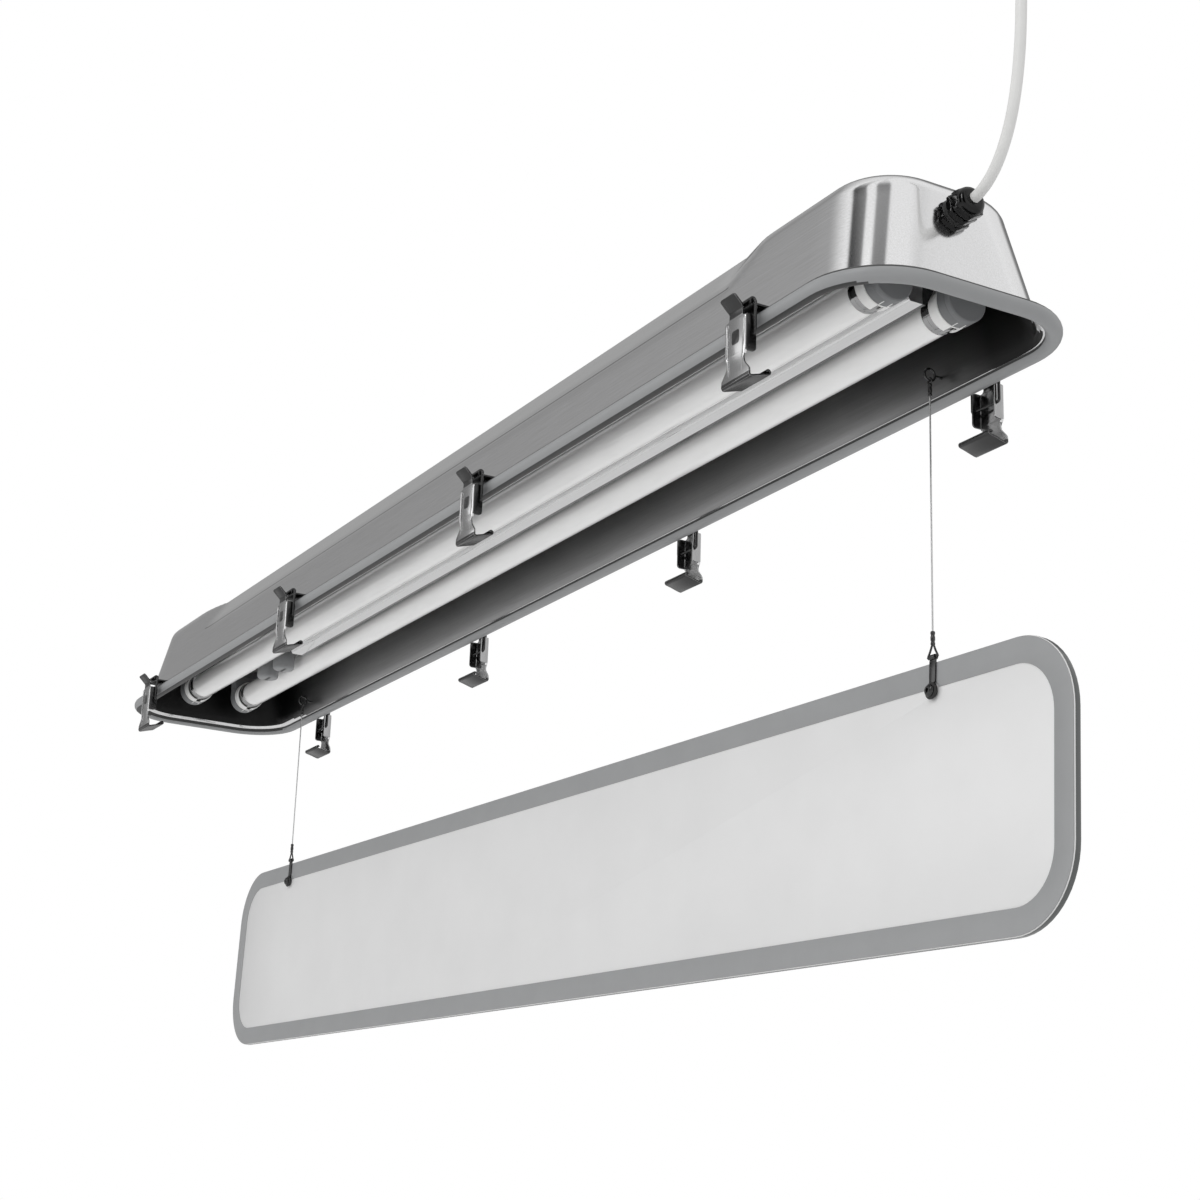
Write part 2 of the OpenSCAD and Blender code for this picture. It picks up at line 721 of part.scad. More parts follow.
// Clips hang outside the gasket. Offsets are measured out from the gasket's edge
pivot_out = 4.5;
pivot_y = rim_w / 2 + pivot_out;
pivot_z = rim_z + gasket_d + 4.2;
lower_z = pivot_z - bail_h;
clip_x = [for (i = [0:3]) (i - 1.5) * clip_pitch];
eye_d = bail_d + 3.2;
eye_l = bail_w - bail_d - 3;
tongue_t = 1.5;

// Runs its children at one clip, with +Y pointing out of the light
module at_clip(side, x) {
    translate([x, 0, 0]) mirror([0, side > 0 ? 0 : 1, 0]) children();
}

module clip_anchors() {
    tongue_z = pivot_z - eye_d / 2;
    wall_y = side_wall_y(-tongue_z) + 0.2;
    color(steel_col) for (side = [-1, 1]) for (x = clip_x) at_clip(side, x) difference() {
        union() {
            translate([-eye_l / 2, wall_y, tongue_z]) cube([eye_l, pivot_y - wall_y, tongue_t]);
            translate([0, pivot_y, pivot_z]) bar_x(eye_d, eye_l);
        }
        translate([0, pivot_y, pivot_z]) bar_x(bail_d + 2 * pin_gap, eye_l + 2 * over);
    }
}

// Wire loop between the anchor's eye and the clip's channel
module clip_bail(side, i) {
    color(steel_col) at_clip(side, clip_x[i]) {
        for (z = [pivot_z, lower_z]) translate([0, pivot_y, z]) bar_x(bail_d, bail_w);
        for (s = [-1, 1]) translate([s * bail_w / 2, pivot_y, lower_z])
            cylinder(d = bail_d, h = bail_h, $fn = small_fn);
        for (s = [-1, 1]) for (z = [pivot_z, lower_z]) translate([s * bail_w / 2, pivot_y, z])
            sphere(d = bail_d, $fn = small_fn);
    }
}

// Clip: a channel with a finger tab above and a flared foot with a hook below
web_out = 4.2;
channel_up = 13;
channel_down = 11;
flange_in = 2.2;
tab_w = 16;
tab_h = 10.5;
tab_lean = 45;
neck_w = 14;
neck_h = 6;
lip_d = 4;
hook_rise = 4;
shin_w = 15;

module clip_lever(side, i) {
    color(dark_steel_col) at_clip(side, clip_x[i]) translate([0, pivot_y, lower_z]) difference() {
        union() {
            // web, with its neck up to the tab
            translate([-channel_w / 2, web_out, -channel_down]) cube([channel_w, clip_t, channel_up + channel_down]);
            translate([-neck_w / 2, web_out, channel_up - over])
                cube([neck_w, clip_t, neck_h + over]);
            // the channel's two flanges
            for (s = [0, 1]) mirror([s, 0, 0]) translate([channel_w / 2 - clip_t, -flange_in, -channel_down])
                cube([clip_t, flange_in + web_out + clip_t, channel_up + channel_down]);
            // finger tab
            translate([0, web_out, channel_up + neck_h - tab_t / 2]) rotate([-tab_lean, 0, 0])
                translate([-tab_w / 2, 0, 0]) cube([tab_w, tab_t, tab_h]);
            // shin and flared foot, as one flat outline
            translate([0, web_out + clip_t, 0]) rotate([90, 0, 0]) linear_extrude(clip_t)
                polygon([[-shin_w / 2, -channel_down + over], [shin_w / 2, -channel_down + over],
                    [shin_w / 2, -channel_down - hook_drop / 6], [hook_w / 2, -hook_drop + clip_t],
                    [hook_w / 2, -hook_drop], [-hook_w / 2, -hook_drop], [-hook_w / 2, -hook_drop + clip_t],
                    [-shin_w / 2, -channel_down - hook_drop / 6]]);
            // floor of the hook, rising inwards to its rolled lip
            translate([-hook_w / 2, 0, 0]) rotate([90, 0, 90]) linear_extrude(hook_w)
                polygon([[web_out + clip_t, -hook_drop], [web_out + clip_t, -hook_drop + clip_t],
                    [web_out - hook_reach, -hook_drop + hook_rise + clip_t],
                    [web_out - hook_reach, -hook_drop + hook_rise]]);
            translate([0, web_out - hook_reach, -hook_drop + hook_rise + lip_d / 2]) bar_x(lip_d, hook_w);
        }
        bar_x(bail_d + 2 * pin_gap, channel_w + 2 * over);
    }
}

// Fixed eyes on the inner face of the right wall, for the safety wires
eye_ring_r = 4.2;
eye_wire_d = 1.6;
link_ring_r = 1.9;
link_wire_d = 1.4;
eye_z = rim_z + 14;
swing_z = eye_z - eye_ring_r + eye_wire_d / 2 + part_gap + link_wire_d / 2;
hang_z = swing_z - wire_l;

module at_wires() {
    for (s = [-1, 1]) translate([s * wire_pitch / 2, wire_y, 0]) children();
}

module wire_eyes() {
    wall_y = side_wall_y(-eye_z - eye_wire_d / 2) - sheet_t - 0.15;
    color(steel_col) at_wires() translate([0, 0, eye_z]) {
        ring_x(eye_ring_r, eye_wire_d);
        translate([0, eye_ring_r, 0]) rotate([-90, 0, 0])
            cylinder(d = eye_wire_d, h = wall_y - wire_y - eye_ring_r, $fn = small_fn);
    }
}

// The straight wires between their end links
crimp_l = 9;
crimp_d = 3;
wire_top = swing_z - 2 * link_ring_r - crimp_l;
stirrup_w = 10;
stirrup_h = 8;
foot_rise = stirrup_h + crimp_l;
wire_sides = 8;
wire_rings = 12;

// Height of the cover's pivot under one wire, and the foot of that wire
function hang_at(s) = [s * wire_pitch / 2 * cos(cover_roll), wire_y, hang_z - s * wire_pitch / 2 * sin(cover_roll)];
function wire_foot(s) = hang_at(s)[2] + foot_rise;

module safety_wire(s) {
    points = [for (i = [0:wire_rings]) [0, 0, -(wire_top - wire_foot(s)) * i / wire_rings]];
    turned = [for (i = [0:wire_rings]) for (k = [0:wire_sides - 1])
        [wire_d / 2 * cos(360 * k / wire_sides), wire_d / 2 * sin(360 * k / wire_sides), points[i][2]]];
    walls = [for (i = [0:wire_rings - 1]) for (k = [0:wire_sides - 1]) [i * wire_sides + k,
        i * wire_sides + (k + 1) % wire_sides, (i + 1) * wire_sides + (k + 1) % wire_sides,
        (i + 1) * wire_sides + k]];
    color(dark_steel_col) translate([s * wire_pitch / 2, wire_y, wire_top])
        polyhedron(turned, concat(walls, [[for (k = [wire_sides - 1:-1:0]) k]],
            [[for (k = [0:wire_sides - 1]) wire_rings * wire_sides + k]]));
}

// Crimps, the round link in the fixed eye, and the stirrup through the cover's hanger
module wire_links() {
    color(dark_steel_col) {
        at_wires() {
            translate([0, 0, swing_z - link_ring_r]) rotate([90, 0, 0]) rotate_extrude($fn = small_fn)
                translate([link_ring_r, 0]) circle(d = link_wire_d, $fn = small_fn);
            translate([0, 0, wire_top]) cylinder(d = crimp_d, h = crimp_l, $fn = small_fn);
        }
        for (s = [-1, 1]) translate([s * wire_pitch / 2, wire_y, wire_foot(s) - crimp_l])
            cylinder(d = crimp_d, h = crimp_l, $fn = small_fn);
        for (s = [-1, 1]) translate(hang_at(s)) rotate([0, cover_roll, 0]) {
            bar_x(link_wire_d, stirrup_w);
            for (a = [0, 180]) rotate([0, 0, a]) {
                rod([stirrup_w / 2, 0, 0], [crimp_d / 3, 0, stirrup_h + 1], link_wire_d);
                translate([stirrup_w / 2, 0, 0]) sphere(d = link_wire_d, $fn = small_fn);
            }
        }
    }
}

// The hanging cover, drawn in its own frame: origin on the pivot line, front face towards -Y
hanger_t = 1.2;
hanger_w = 6;
hanger_eye_d = link_wire_d + 2.4;
cover_drop = hanger_eye_d / 2 + 1;
front_y = hanger_t / 2 + 0.1 + band_t;
bolt_drop = cover_drop + bolt_inset;
bolt_d = 4;
bolt_head_d = 8;
bolt_head_t = 2.6;
washer_out = 11;
washer_h = 1.5;
nut_af = 7;
nut_t = 3.2;
bolt_tail = 1.4;

module at_cover() {
    translate([0, wire_y, hang_z]) rotate([0, cover_roll, 0]) rotate([-cover_tilt, 0, 0]) children();
}

// Slab of the cover's outline, from y0 to y1, smaller by inset all round
module cover_slab(inset, y0, y1) {
    translate([0, y1, -cover_drop - cover_w / 2]) rotate([90, 0, 0])
        slab(cover_l - 2 * inset, cover_w - 2 * inset, cover_r - inset, y1 - y0);
}

module at_bolts() {
    for (s = [-1, 1]) translate([s * wire_pitch / 2, 0, -bolt_drop]) children();
}

// Cylinder along Y from y0 to y1
module rod_y(d, y0, y1, sides) {
    translate([0, y0, 0]) rotate([-90, 0, 0]) cylinder(d = d, h = y1 - y0, $fn = sides);
}

module cover_glass() {
    color(glass_col) at_cover() difference() {
        cover_slab(0, front_y, front_y + glass_t);
        at_bolts() rod_y(bolt_d + 2, front_y - over, front_y + glass_t + over, small_fn);
    }
}

module cover_band() {
    color(grey_col) at_cover() difference() {
        cover_slab(0, front_y - band_t, front_y);
        cover_slab(band_w, front_y - band_t - over, front_y + over);
        at_bolts() rod_y(washer_out + 2 * part_gap, front_y - band_t - over, front_y + over, round_fn);
    }
}

// Front faces of the stack on each bolt, counted outwards from the glass
strap_y = front_y - band_t - hanger_t;
washer_y = strap_y - washer_h;

module cover_hangers() {
    color(steel_col) at_cover() for (s = [-1, 1]) translate([s * wire_pitch / 2, 0, 0]) difference() {
        union() {
            translate([-hanger_w / 2, strap_y, -bolt_drop]) cube([hanger_w, hanger_t, bolt_drop]);
            translate([0, 0, -bolt_drop]) rod_y(hanger_w + 3, strap_y, strap_y + hanger_t, round_fn);
            bar_x(hanger_eye_d, hanger_w);
        }
        bar_x(link_wire_d + 2 * pin_gap, hanger_w + 2 * over);
        translate([0, 0, -bolt_drop]) rod_y(bolt_d + 2 * pin_gap, strap_y - over, strap_y + hanger_t + over, small_fn);
    }
}

// A soft washer in front of the strap, and a bush with a washer behind the glass
module cover_washers() {
    back_y = front_y + glass_t;
    color(rubber_col) at_cover() at_bolts() {
        difference() {
            rod_y(washer_out, washer_y, strap_y, round_fn);
            rod_y(bolt_d + 2 * pin_gap, washer_y - over, strap_y + over, small_fn);
        }
        difference() {
            union() {
                rod_y(bolt_d + 2 - 2 * pin_gap, front_y - band_t, back_y, small_fn);
                rod_y(washer_out, back_y, back_y + washer_h, round_fn);
            }
            rod_y(bolt_d + 2 * pin_gap, front_y - band_t - over, back_y + washer_h + over, small_fn);
        }
    }
}

module cover_bolts() {
    nut_y = front_y + glass_t + washer_h;
    color(steel_col) at_cover() at_bolts() {
        rod_y(bolt_d, washer_y, nut_y + nut_t + bolt_tail, small_fn);
        rod_y(bolt_head_d, washer_y - bolt_head_t, washer_y, round_fn);
    }
}

module cover_nuts() {
    nut_y = front_y + glass_t + washer_h;
    color(steel_col) at_cover() at_bolts() difference() {
        rod_y(nut_af / cos(30), nut_y, nut_y + nut_t, 6);
        rod_y(bolt_d + 2 * pin_gap, nut_y - over, nut_y + nut_t + over, small_fn);
    }
}

housing_shell();
rim_gasket();
mount_nuts();
tray_studs();
tray_nuts();
gear_tray();
ballast(ballast_x);  // ballast_near
ballast(-ballast_x);  // ballast_far
capacitor();
terminal_block();
gear_wiring();
lampholders();
lampholder_collars();
starter_sockets();
gland_washer();
gland_body();
gland_insert();
gland_dome_nut();
gland_locknut();
supply_tail();
supply_lead();
lead_cores();
clip_anchors();
wire_eyes();
lamp_glass(-1);  // lamp_left_glass
lamp_caps(-1);  // lamp_left_caps
lamp_rotors(-1);  // lamp_left_rotors
lamp_glass(1);  // lamp_right_glass
lamp_caps(1);  // lamp_right_caps
lamp_rotors(1);  // lamp_right_rotors
starter(0);  // starter_near
starter(1);  // starter_far
safety_wire(1);  // safety_wire_near
safety_wire(-1);  // safety_wire_far
wire_links();
cover_glass();
cover_band();
cover_hangers();
cover_bolts();
cover_washers();
cover_nuts();
clip_bail(-1, 0);  // clip_bail_left_1
clip_bail(-1, 1);  // clip_bail_left_2
clip_bail(-1, 2);  // clip_bail_left_3
clip_bail(-1, 3);  // clip_bail_left_4
clip_bail(1, 0);  // clip_bail_right_1
clip_bail(1, 1);  // clip_bail_right_2
clip_bail(1, 2);  // clip_bail_right_3
clip_bail(1, 3);  // clip_bail_right_4
clip_lever(-1, 0);  // clip_lever_left_1
clip_lever(-1, 1);  // clip_lever_left_2
clip_lever(-1, 2);  // clip_lever_left_3
clip_lever(-1, 3);  // clip_lever_left_4
clip_lever(1, 0);  // clip_lever_right_1
clip_lever(1, 1);  // clip_lever_right_2
clip_lever(1, 2);  // clip_lever_right_3
clip_lever(1, 3);  // clip_lever_right_4
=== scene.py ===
from math import sin, cos, tan, asin, atan, atan2, radians, pi, sqrt, hypot, exp, log
import bpy
import bmesh
from mathutils import Vector, Matrix


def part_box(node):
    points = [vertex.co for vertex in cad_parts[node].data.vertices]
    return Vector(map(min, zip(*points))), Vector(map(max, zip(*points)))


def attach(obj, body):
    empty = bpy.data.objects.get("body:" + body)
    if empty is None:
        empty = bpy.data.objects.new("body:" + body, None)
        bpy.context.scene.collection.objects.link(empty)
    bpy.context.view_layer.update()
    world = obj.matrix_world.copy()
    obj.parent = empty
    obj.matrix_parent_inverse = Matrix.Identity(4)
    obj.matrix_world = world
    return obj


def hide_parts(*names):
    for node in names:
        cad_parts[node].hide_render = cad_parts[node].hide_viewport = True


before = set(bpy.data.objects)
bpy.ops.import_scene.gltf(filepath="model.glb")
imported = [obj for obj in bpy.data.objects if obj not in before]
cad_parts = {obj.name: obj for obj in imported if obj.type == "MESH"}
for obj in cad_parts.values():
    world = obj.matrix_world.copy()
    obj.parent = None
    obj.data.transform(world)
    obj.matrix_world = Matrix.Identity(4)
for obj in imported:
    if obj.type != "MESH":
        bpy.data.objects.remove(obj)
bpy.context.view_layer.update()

MM = 0.001
MERGE = 1e-7

# camera, fitted to the photograph: focal length in the frame's pixels, place in mm, and axes
FRAME_PX, SENSOR_MM, FOCAL_PX = 1200.0, 36.0, 2214.8
CAM_AT = (1593.3, -776.3, -649.3)
CAM_DIR = (-0.83309, 0.46863, 0.29385)
CAM_RIGHT = (0.49877, 0.86611, 0.03279)
CAM_UP = (0.23914, -0.17388, 0.95529)


def make_camera():
    data = bpy.data.cameras.new("camera")
    data.sensor_fit = "HORIZONTAL"
    data.sensor_width = SENSOR_MM
    data.lens = SENSOR_MM * FOCAL_PX / FRAME_PX
    data.clip_start = 0.02
    data.clip_end = 100.0
    cam = bpy.data.objects.new("camera", data)
    right, up, back = Vector(CAM_RIGHT), Vector(CAM_UP), -Vector(CAM_DIR)
    m = Matrix((right, up, back)).transposed().to_4x4()
    m.translation = Vector(CAM_AT) * MM
    cam.matrix_world = m
    bpy.context.scene.collection.objects.link(cam)
    bpy.context.scene.camera = cam


make_camera()


def cosd(a):
    return cos(radians(a))


def sind(a):
    return sin(radians(a))


# mesh helpers: they take millimetres and give metres
def new_object(name, verts, faces, mats=(), face_mats=()):
    mesh = bpy.data.meshes.new(name)
    mesh.from_pydata([(v[0] * MM, v[1] * MM, v[2] * MM) for v in verts], [], faces)
    mesh.validate()
    obj = bpy.data.objects.new(name, mesh)
    bpy.context.scene.collection.objects.link(obj)
    for m in mats:
        mesh.materials.append(m)
    for p, k in zip(mesh.polygons, face_mats):
        p.material_index = k
    for p in mesh.polygons:
        p.use_smooth = True
    return obj


class Build:
    """Collects faces of one piece; all its shapes go into one mesh."""

    def __init__(self):
        self.v, self.f, self.m = [], [], []

    def add(self, verts, faces, mat=0, place=None):
        base = len(self.v)
        if place:
            verts = [place(v) for v in verts]
        self.v += [tuple(v) for v in verts]
        self.f += [tuple(base + i for i in f) for f in faces]
        self.m += [mat] * len(faces)

    def object(self, name, mats, body, replaced, slot, angle, bevel=0.0, cutters=()):
        """Makes the piece, with sharp edges where it turns by more than the angle in degrees."""
        obj = new_object(name, self.v, self.f, mats, self.m)
        if cutters:
            cut(obj, cutters)
        tidy(obj, angle, bevel)
        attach(obj, body)
        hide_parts(replaced)
        return obj


def tidy(obj, angle, bevel):
    """Outward normals, smooth shading with sharp edges kept, and a small bevel on hard edges."""
    bm = bmesh.new()
    bm.from_mesh(obj.data)
    bmesh.ops.remove_doubles(bm, verts=bm.verts, dist=MERGE)
    bmesh.ops.recalc_face_normals(bm, faces=bm.faces)

    def sharp(e):
        return len(e.link_faces) == 2 and e.calc_face_angle(0) > radians(angle)

    if bevel > 0:
        bmesh.ops.bevel(bm, geom=[e for e in bm.edges if sharp(e)], offset=bevel * MM, segments=2, profile=0.5,
                        affect="EDGES", clamp_overlap=True)
    for e in bm.edges:
        e.smooth = not sharp(e)
    bm.to_mesh(obj.data)
    bm.free()
    for p in obj.data.polygons:
        p.use_smooth = True


def cut(obj, cutters):
    """Takes the cutters' shapes out of obj for good."""
    for c in cutters:
        mod = obj.modifiers.new("cut", "BOOLEAN")
        mod.operation = "DIFFERENCE"
        mod.solver = "EXACT"
        mod.object = c
    bpy.context.view_layer.update()
    dg = bpy.context.evaluated_depsgraph_get()
    mesh = bpy.data.meshes.new_from_object(obj.evaluated_get(dg))
    obj.modifiers.clear()
    obj.data = mesh
    for c in cutters:
        bpy.data.objects.remove(c)


def grid_faces(rows, cols, close_cols=True, close_rows=False):
    faces = []
    for i in range(rows if close_rows else rows - 1):
        for k in range(cols if close_cols else cols - 1):
            a, b = i * cols + k, i * cols + (k + 1) % cols
            j = (i + 1) % rows
            faces.append((a, b, j * cols + (k + 1) % cols, j * cols + k))
    return faces


def loft(b, rings, mat=0, caps=True, place=None, closed=False):
    n = len(rings[0])
    verts = [p for r in rings for p in r]
    faces = grid_faces(len(rings), n, True, closed)
    if caps and not closed:
        faces.append(tuple(reversed(range(n))))
        faces.append(tuple(range((len(rings) - 1) * n, len(rings) * n)))
    b.add(verts, faces, mat, place)


def frames(points, closed=False, first=None):
    """Tangent, normal, binormal at each point, turning as little as possible."""
    pts = [Vector(p) for p in points]
    n = len(pts)
    tans = []
    for i in range(n):
        a = pts[(i - 1) % n] if closed or i > 0 else pts[0]
        c = pts[(i + 1) % n] if closed or i < n - 1 else pts[-1]
        tans.append((c - a).normalized())
    if first is not None:
        tans[0] = Vector(first).normalized()
    seed = Vector((0, 0, 1)) if abs(tans[0].z) < 0.9 else Vector((1, 0, 0))
    nrm = (seed - tans[0] * seed.dot(tans[0])).normalized()
    out = []
    for t in tans:
        nrm = (nrm - t * nrm.dot(t)).normalized()
        out.append((t, nrm.copy(), t.cross(nrm)))
    return pts, out


def tube(b, points, d, sides=16, mat=0, closed=False, first=None, radii=None, place=None):
    pts, fr = frames(points, closed, first)
    rings = []
    for i, (p, (t, n, bn)) in enumerate(zip(pts, fr)):
        r = (radii[i] if radii else d / 2)
        rings.append([p + (n * cos(2 * pi * k / sides) + bn * sin(2 * pi * k / sides)) * r for k in range(sides)])
    loft(b, rings, mat, True, place, closed)


def lathe(b, profile, sides=48, mat=0, axis="x", at=(0, 0, 0), closed_profile=True, place=None):
    """Turns (along, radius) pairs about an axis. A closed profile makes a ring; an open one is capped on the axis."""
    rings = []
    for s, r in profile:
        rings.append([])
        for k in range(sides):
            a = 2 * pi * k / sides
            u, v = r * cos(a), r * sin(a)
            p = {"x": (s, u, v), "y": (v, s, u), "z": (u, v, s)}[axis]
            rings[-1].append(tuple(c + d for c, d in zip(at, p)))
    loft(b, rings, mat, not closed_profile, place, closed_profile)


def drill(radius, s0, s1, sides, **how):
    """A cylinder that cuts a round hole."""
    c = Build()
    lathe(c, [(s0, radius), (s1, radius)], sides, closed_profile=False, **how)
    return new_object("cutter", c.v, c.f)


def box(b, lo, hi, mat=0, place=None):
    (x0, y0, z0), (x1, y1, z1) = lo, hi
    v = [(x, y, z) for z in (z0, z1) for x, y in ((x0, y0), (x1, y0), (x1, y1), (x0, y1))]
    f = [(0, 3, 2, 1), (4, 5, 6, 7), (0, 1, 5, 4), (1, 2, 6, 5), (2, 3, 7, 6), (3, 0, 4, 7)]
    b.add(v, f, mat, place)


def prism(b, outline, h0, h1, plane, mat=0, place=None):
    """Extrudes an outline drawn in the plane "xz" or "yz" along the third axis, from h0 to h1."""
    def pt(p, h):
        return (p[0], h, p[1]) if plane == "xz" else (h, p[0], p[1])
    n = len(outline)
    verts = [pt(p, h0) for p in outline] + [pt(p, h1) for p in outline]
    faces = [tuple(range(n)), tuple(reversed(range(n, 2 * n)))]
    faces += [(i, (i + 1) % n, n + (i + 1) % n, n + i) for i in range(n)]
    b.add(verts, faces, mat, place)


def arc(cx, cy, r, a0, a1, steps):
    angles = [a0 + (a1 - a0) * i / steps for i in range(steps + 1)]
    return [(cx + r * cosd(a), cy + r * sind(a)) for a in angles]


def round_rect(hx, hy, r, seg, nx=1):
    """Points round a rounded rectangle, with nx divisions on its runs along X; starts at +X, -Y side."""
    cx, cy = hx - r, hy - r
    runs = [((hx, -cy), (hx, cy), 1, cx, cy), ((cx, hy), (-cx, hy), nx, -cx, cy),
            ((-hx, cy), (-hx, -cy), 1, -cx, -cy), ((-cx, -hy), (cx, -hy), nx, cx, -cy)]
    pts = []
    for k, (p, q, n, mx, my) in enumerate(runs):
        pts += [(p[0] + (q[0] - p[0]) * i / n, p[1] + (q[1] - p[1]) * i / n) for i in range(n)]
        pts += arc(mx, my, r, 90 * k, 90 * k + 90, seg)[:-1]
    return pts


# materials, all from nodes on object coordinates
def node(nt, kind):
    return nt.nodes.new("ShaderNode" + kind)


def principled(name, color, rough, metal=0.0, **more):
    m = bpy.data.materials.new(name)
    m.use_nodes = True
    nt = m.node_tree
    nt.nodes.clear()
    out = node(nt, "OutputMaterial")
    bs = node(nt, "BsdfPrincipled")
    nt.links.new(bs.outputs[0], out.inputs[0])
    bs.inputs["Base Color"].default_value = (*color, 1)
    bs.inputs["Roughness"].default_value = rough
    bs.inputs["Metallic"].default_value = metal
    for k, v in more.items():
        bs.inputs[k.replace("_", " ")].default_value = v
    m.diffuse_color = (*color, 1)
    return m, nt, bs


def coords(nt, scale=(1, 1, 1)):
    tc = node(nt, "TexCoord")
    mp = node(nt, "Mapping")
    mp.inputs["Scale"].default_value = scale
    nt.links.new(tc.outputs["Object"], mp.inputs["Vector"])
    return mp.outputs["Vector"]


def noise(nt, scale, detail=3.0, rough=0.55, stretch=(1, 1, 1)):
    n = node(nt, "TexNoise")
    for name, value in (("Scale", scale), ("Detail", detail), ("Roughness", rough)):
        n.inputs[name].default_value = value
    nt.links.new(coords(nt, stretch), n.inputs["Vector"])
    return n.outputs["Fac"]


def ramp(nt, fac, stops):
    r = node(nt, "ValToRGB")
    els = r.color_ramp.elements
    els[0].position, els[1].position = stops[0][0], stops[-1][0]
    for p, _ in stops[1:-1]:
        els.new(p)
    for e, (p, c) in zip(els, stops):
        e.color = (c, c, c, 1) if not isinstance(c, tuple) else (*c, 1)
    nt.links.new(fac, r.inputs[0])
    return r.outputs["Color"]


def bump(nt, bs, height, strength, distance):
    b = node(nt, "Bump")
    b.inputs["Strength"].default_value = strength
    b.inputs["Distance"].default_value = distance
    nt.links.new(height, b.inputs["Height"])
    nt.links.new(b.outputs[0], bs.inputs["Normal"])


def feed(nt, value, socket):
    """Sets a socket to a plain number or colour, or links it."""
    if isinstance(value, (float, tuple)):
        socket.default_value = value
    else:
        nt.links.new(value, socket)


def math_node(nt, operation, *values):
    n = node(nt, "Math")
    n.operation = operation
    for value, socket in zip(values, n.inputs):
        feed(nt, value, socket)
    return n.outputs[0]


def mix_colour(nt, fac, a, b, blend="MIX"):
    n = node(nt, "Mix")
    n.data_type, n.blend_type = "RGBA", blend
    for value, k in ((fac, 0), (a, 6), (b, 7)):
        feed(nt, value, n.inputs[k])
    return n.outputs[2]


def drive(nt, bs, fac, stops, socket="Base Color"):
    """Feeds one input of the shader from a ramp over fac."""
    nt.links.new(ramp(nt, fac, stops), bs.inputs[socket])


def steel(name, tone, rough, grain, grain_scale, spread=0.06, wave=0.0):
    """Rolled stainless: faint streaks along the grain in colour and roughness, and slight waviness of the sheet."""
    m, nt, bs = principled(name, (tone, tone, tone * 1.01), rough, 1.0)
    lo, hi = tone * 0.93, min(1.0, tone * 1.05)
    streak = noise(nt, grain_scale, 4.0, 0.6, grain)
    drive(nt, bs, streak, [(0.3, (lo, lo, lo)), (0.7, (hi, hi, hi * 1.01))])
    cloud = noise(nt, 9.0)
    drive(nt, bs, cloud, [(0.25, max(0.02, rough - spread)), (0.75, rough + spread)], "Roughness")
    if wave > 0:
        bump(nt, bs, noise(nt, 5.0, 1.0, stretch=(1, 2, 2)), wave, 0.002)
    return m


def plastic(name, color, rough, pores=0.06, scale=900.0):
    """Moulded surface: slightly uneven colour and fine pores."""
    m, nt, bs = principled(name, color, rough)
    drive(nt, bs, noise(nt, 40.0), [(0.3, tuple(c * 0.95 for c in color)), (0.7, color)])
    bump(nt, bs, noise(nt, scale, 2.0), pores, 0.0002)
    return m


def laminated():
    """Stacked iron sheets under dark varnish: fine stripes across the stack, and clouds of thicker varnish."""
    m, nt, bs = principled("ballast_laminations", (0.05, 0.05, 0.055), 0.45, 0.5)
    wave = node(nt, "TexWave")
    wave.bands_direction = "Z"
    wave.inputs["Scale"].default_value = 320.0
    wave.inputs["Distortion"].default_value = 0.4
    nt.links.new(coords(nt), wave.inputs["Vector"])
    drive(nt, bs, wave.outputs["Fac"], [(0.2, 0.035), (0.8, 0.075)])
    drive(nt, bs, noise(nt, 25.0), [(0.3, 0.35), (0.7, 0.6)], "Roughness")
    bump(nt, bs, wave.outputs["Fac"], 0.3, 0.0003)
    return m


def lamp_glass():
    """White phosphor behind clear glass: slightly uneven white under a smooth gloss."""
    m, nt, bs = principled("lamp_glass", (0.9, 0.9, 0.89), 0.16, 0.0, Coat_Weight=0.6, Coat_Roughness=0.06)
    fine = noise(nt, 30.0, 4.0, stretch=(1, 4, 4))
    drive(nt, bs, fine, [(0.3, (0.86, 0.86, 0.855)), (0.7, (0.91, 0.91, 0.905))])
    return m


def cover_glass():
    """Satin opal glass: pale, a little see-through, with a fine etched grain."""
    m, nt, bs = principled("cover_glass", (0.80, 0.805, 0.805), 0.28, 0.0, Transmission_Weight=0.12, IOR=1.5)
    drive(nt, bs, noise(nt, 14.0), [(0.3, 0.785), (0.7, 0.815)])
    bump(nt, bs, noise(nt, 1800.0, 2.0), 0.08, 0.0001)
    return m


def recolour(m, change):
    """Puts change(nt, colour, at) between a material's colour and its shader, at being the place's X, Y and Z."""
    nt = m.node_tree
    colour = next(x for x in nt.nodes if x.type == "BSDF_PRINCIPLED").inputs["Base Color"]
    sep = node(nt, "SeparateXYZ")
    nt.links.new(coords(nt), sep.inputs[0])
    nt.links.new(change(nt, colour.links[0].from_socket, sep.outputs), colour)


def painted_end_shade(m, near, far, share):
    """Paints shade: fades the colour to its share between two distances from the middle of the length, in metres."""
    def change(nt, colour, at):
        fade = ramp(nt, math_node(nt, "ABSOLUTE", at[0]), [(near, 1), (far, share)])
        return mix_colour(nt, 1.0, colour, fade, "MULTIPLY")
    recolour(m, change)


def painted_fold_shade(m, depth, half, length, share):
    """A thin line of painted shade along both long walls at one depth, at the fold where the wall meets its bevel, in
    metres.
    """
    def change(nt, colour, at):
        line = math_node(nt, "MULTIPLY", math_node(nt, "COMPARE", at[2], -depth, half),
                         math_node(nt, "COMPARE", at[0], 0.0, length))
        return mix_colour(nt, line, colour, (share, share, share, 1))
    recolour(m, change)


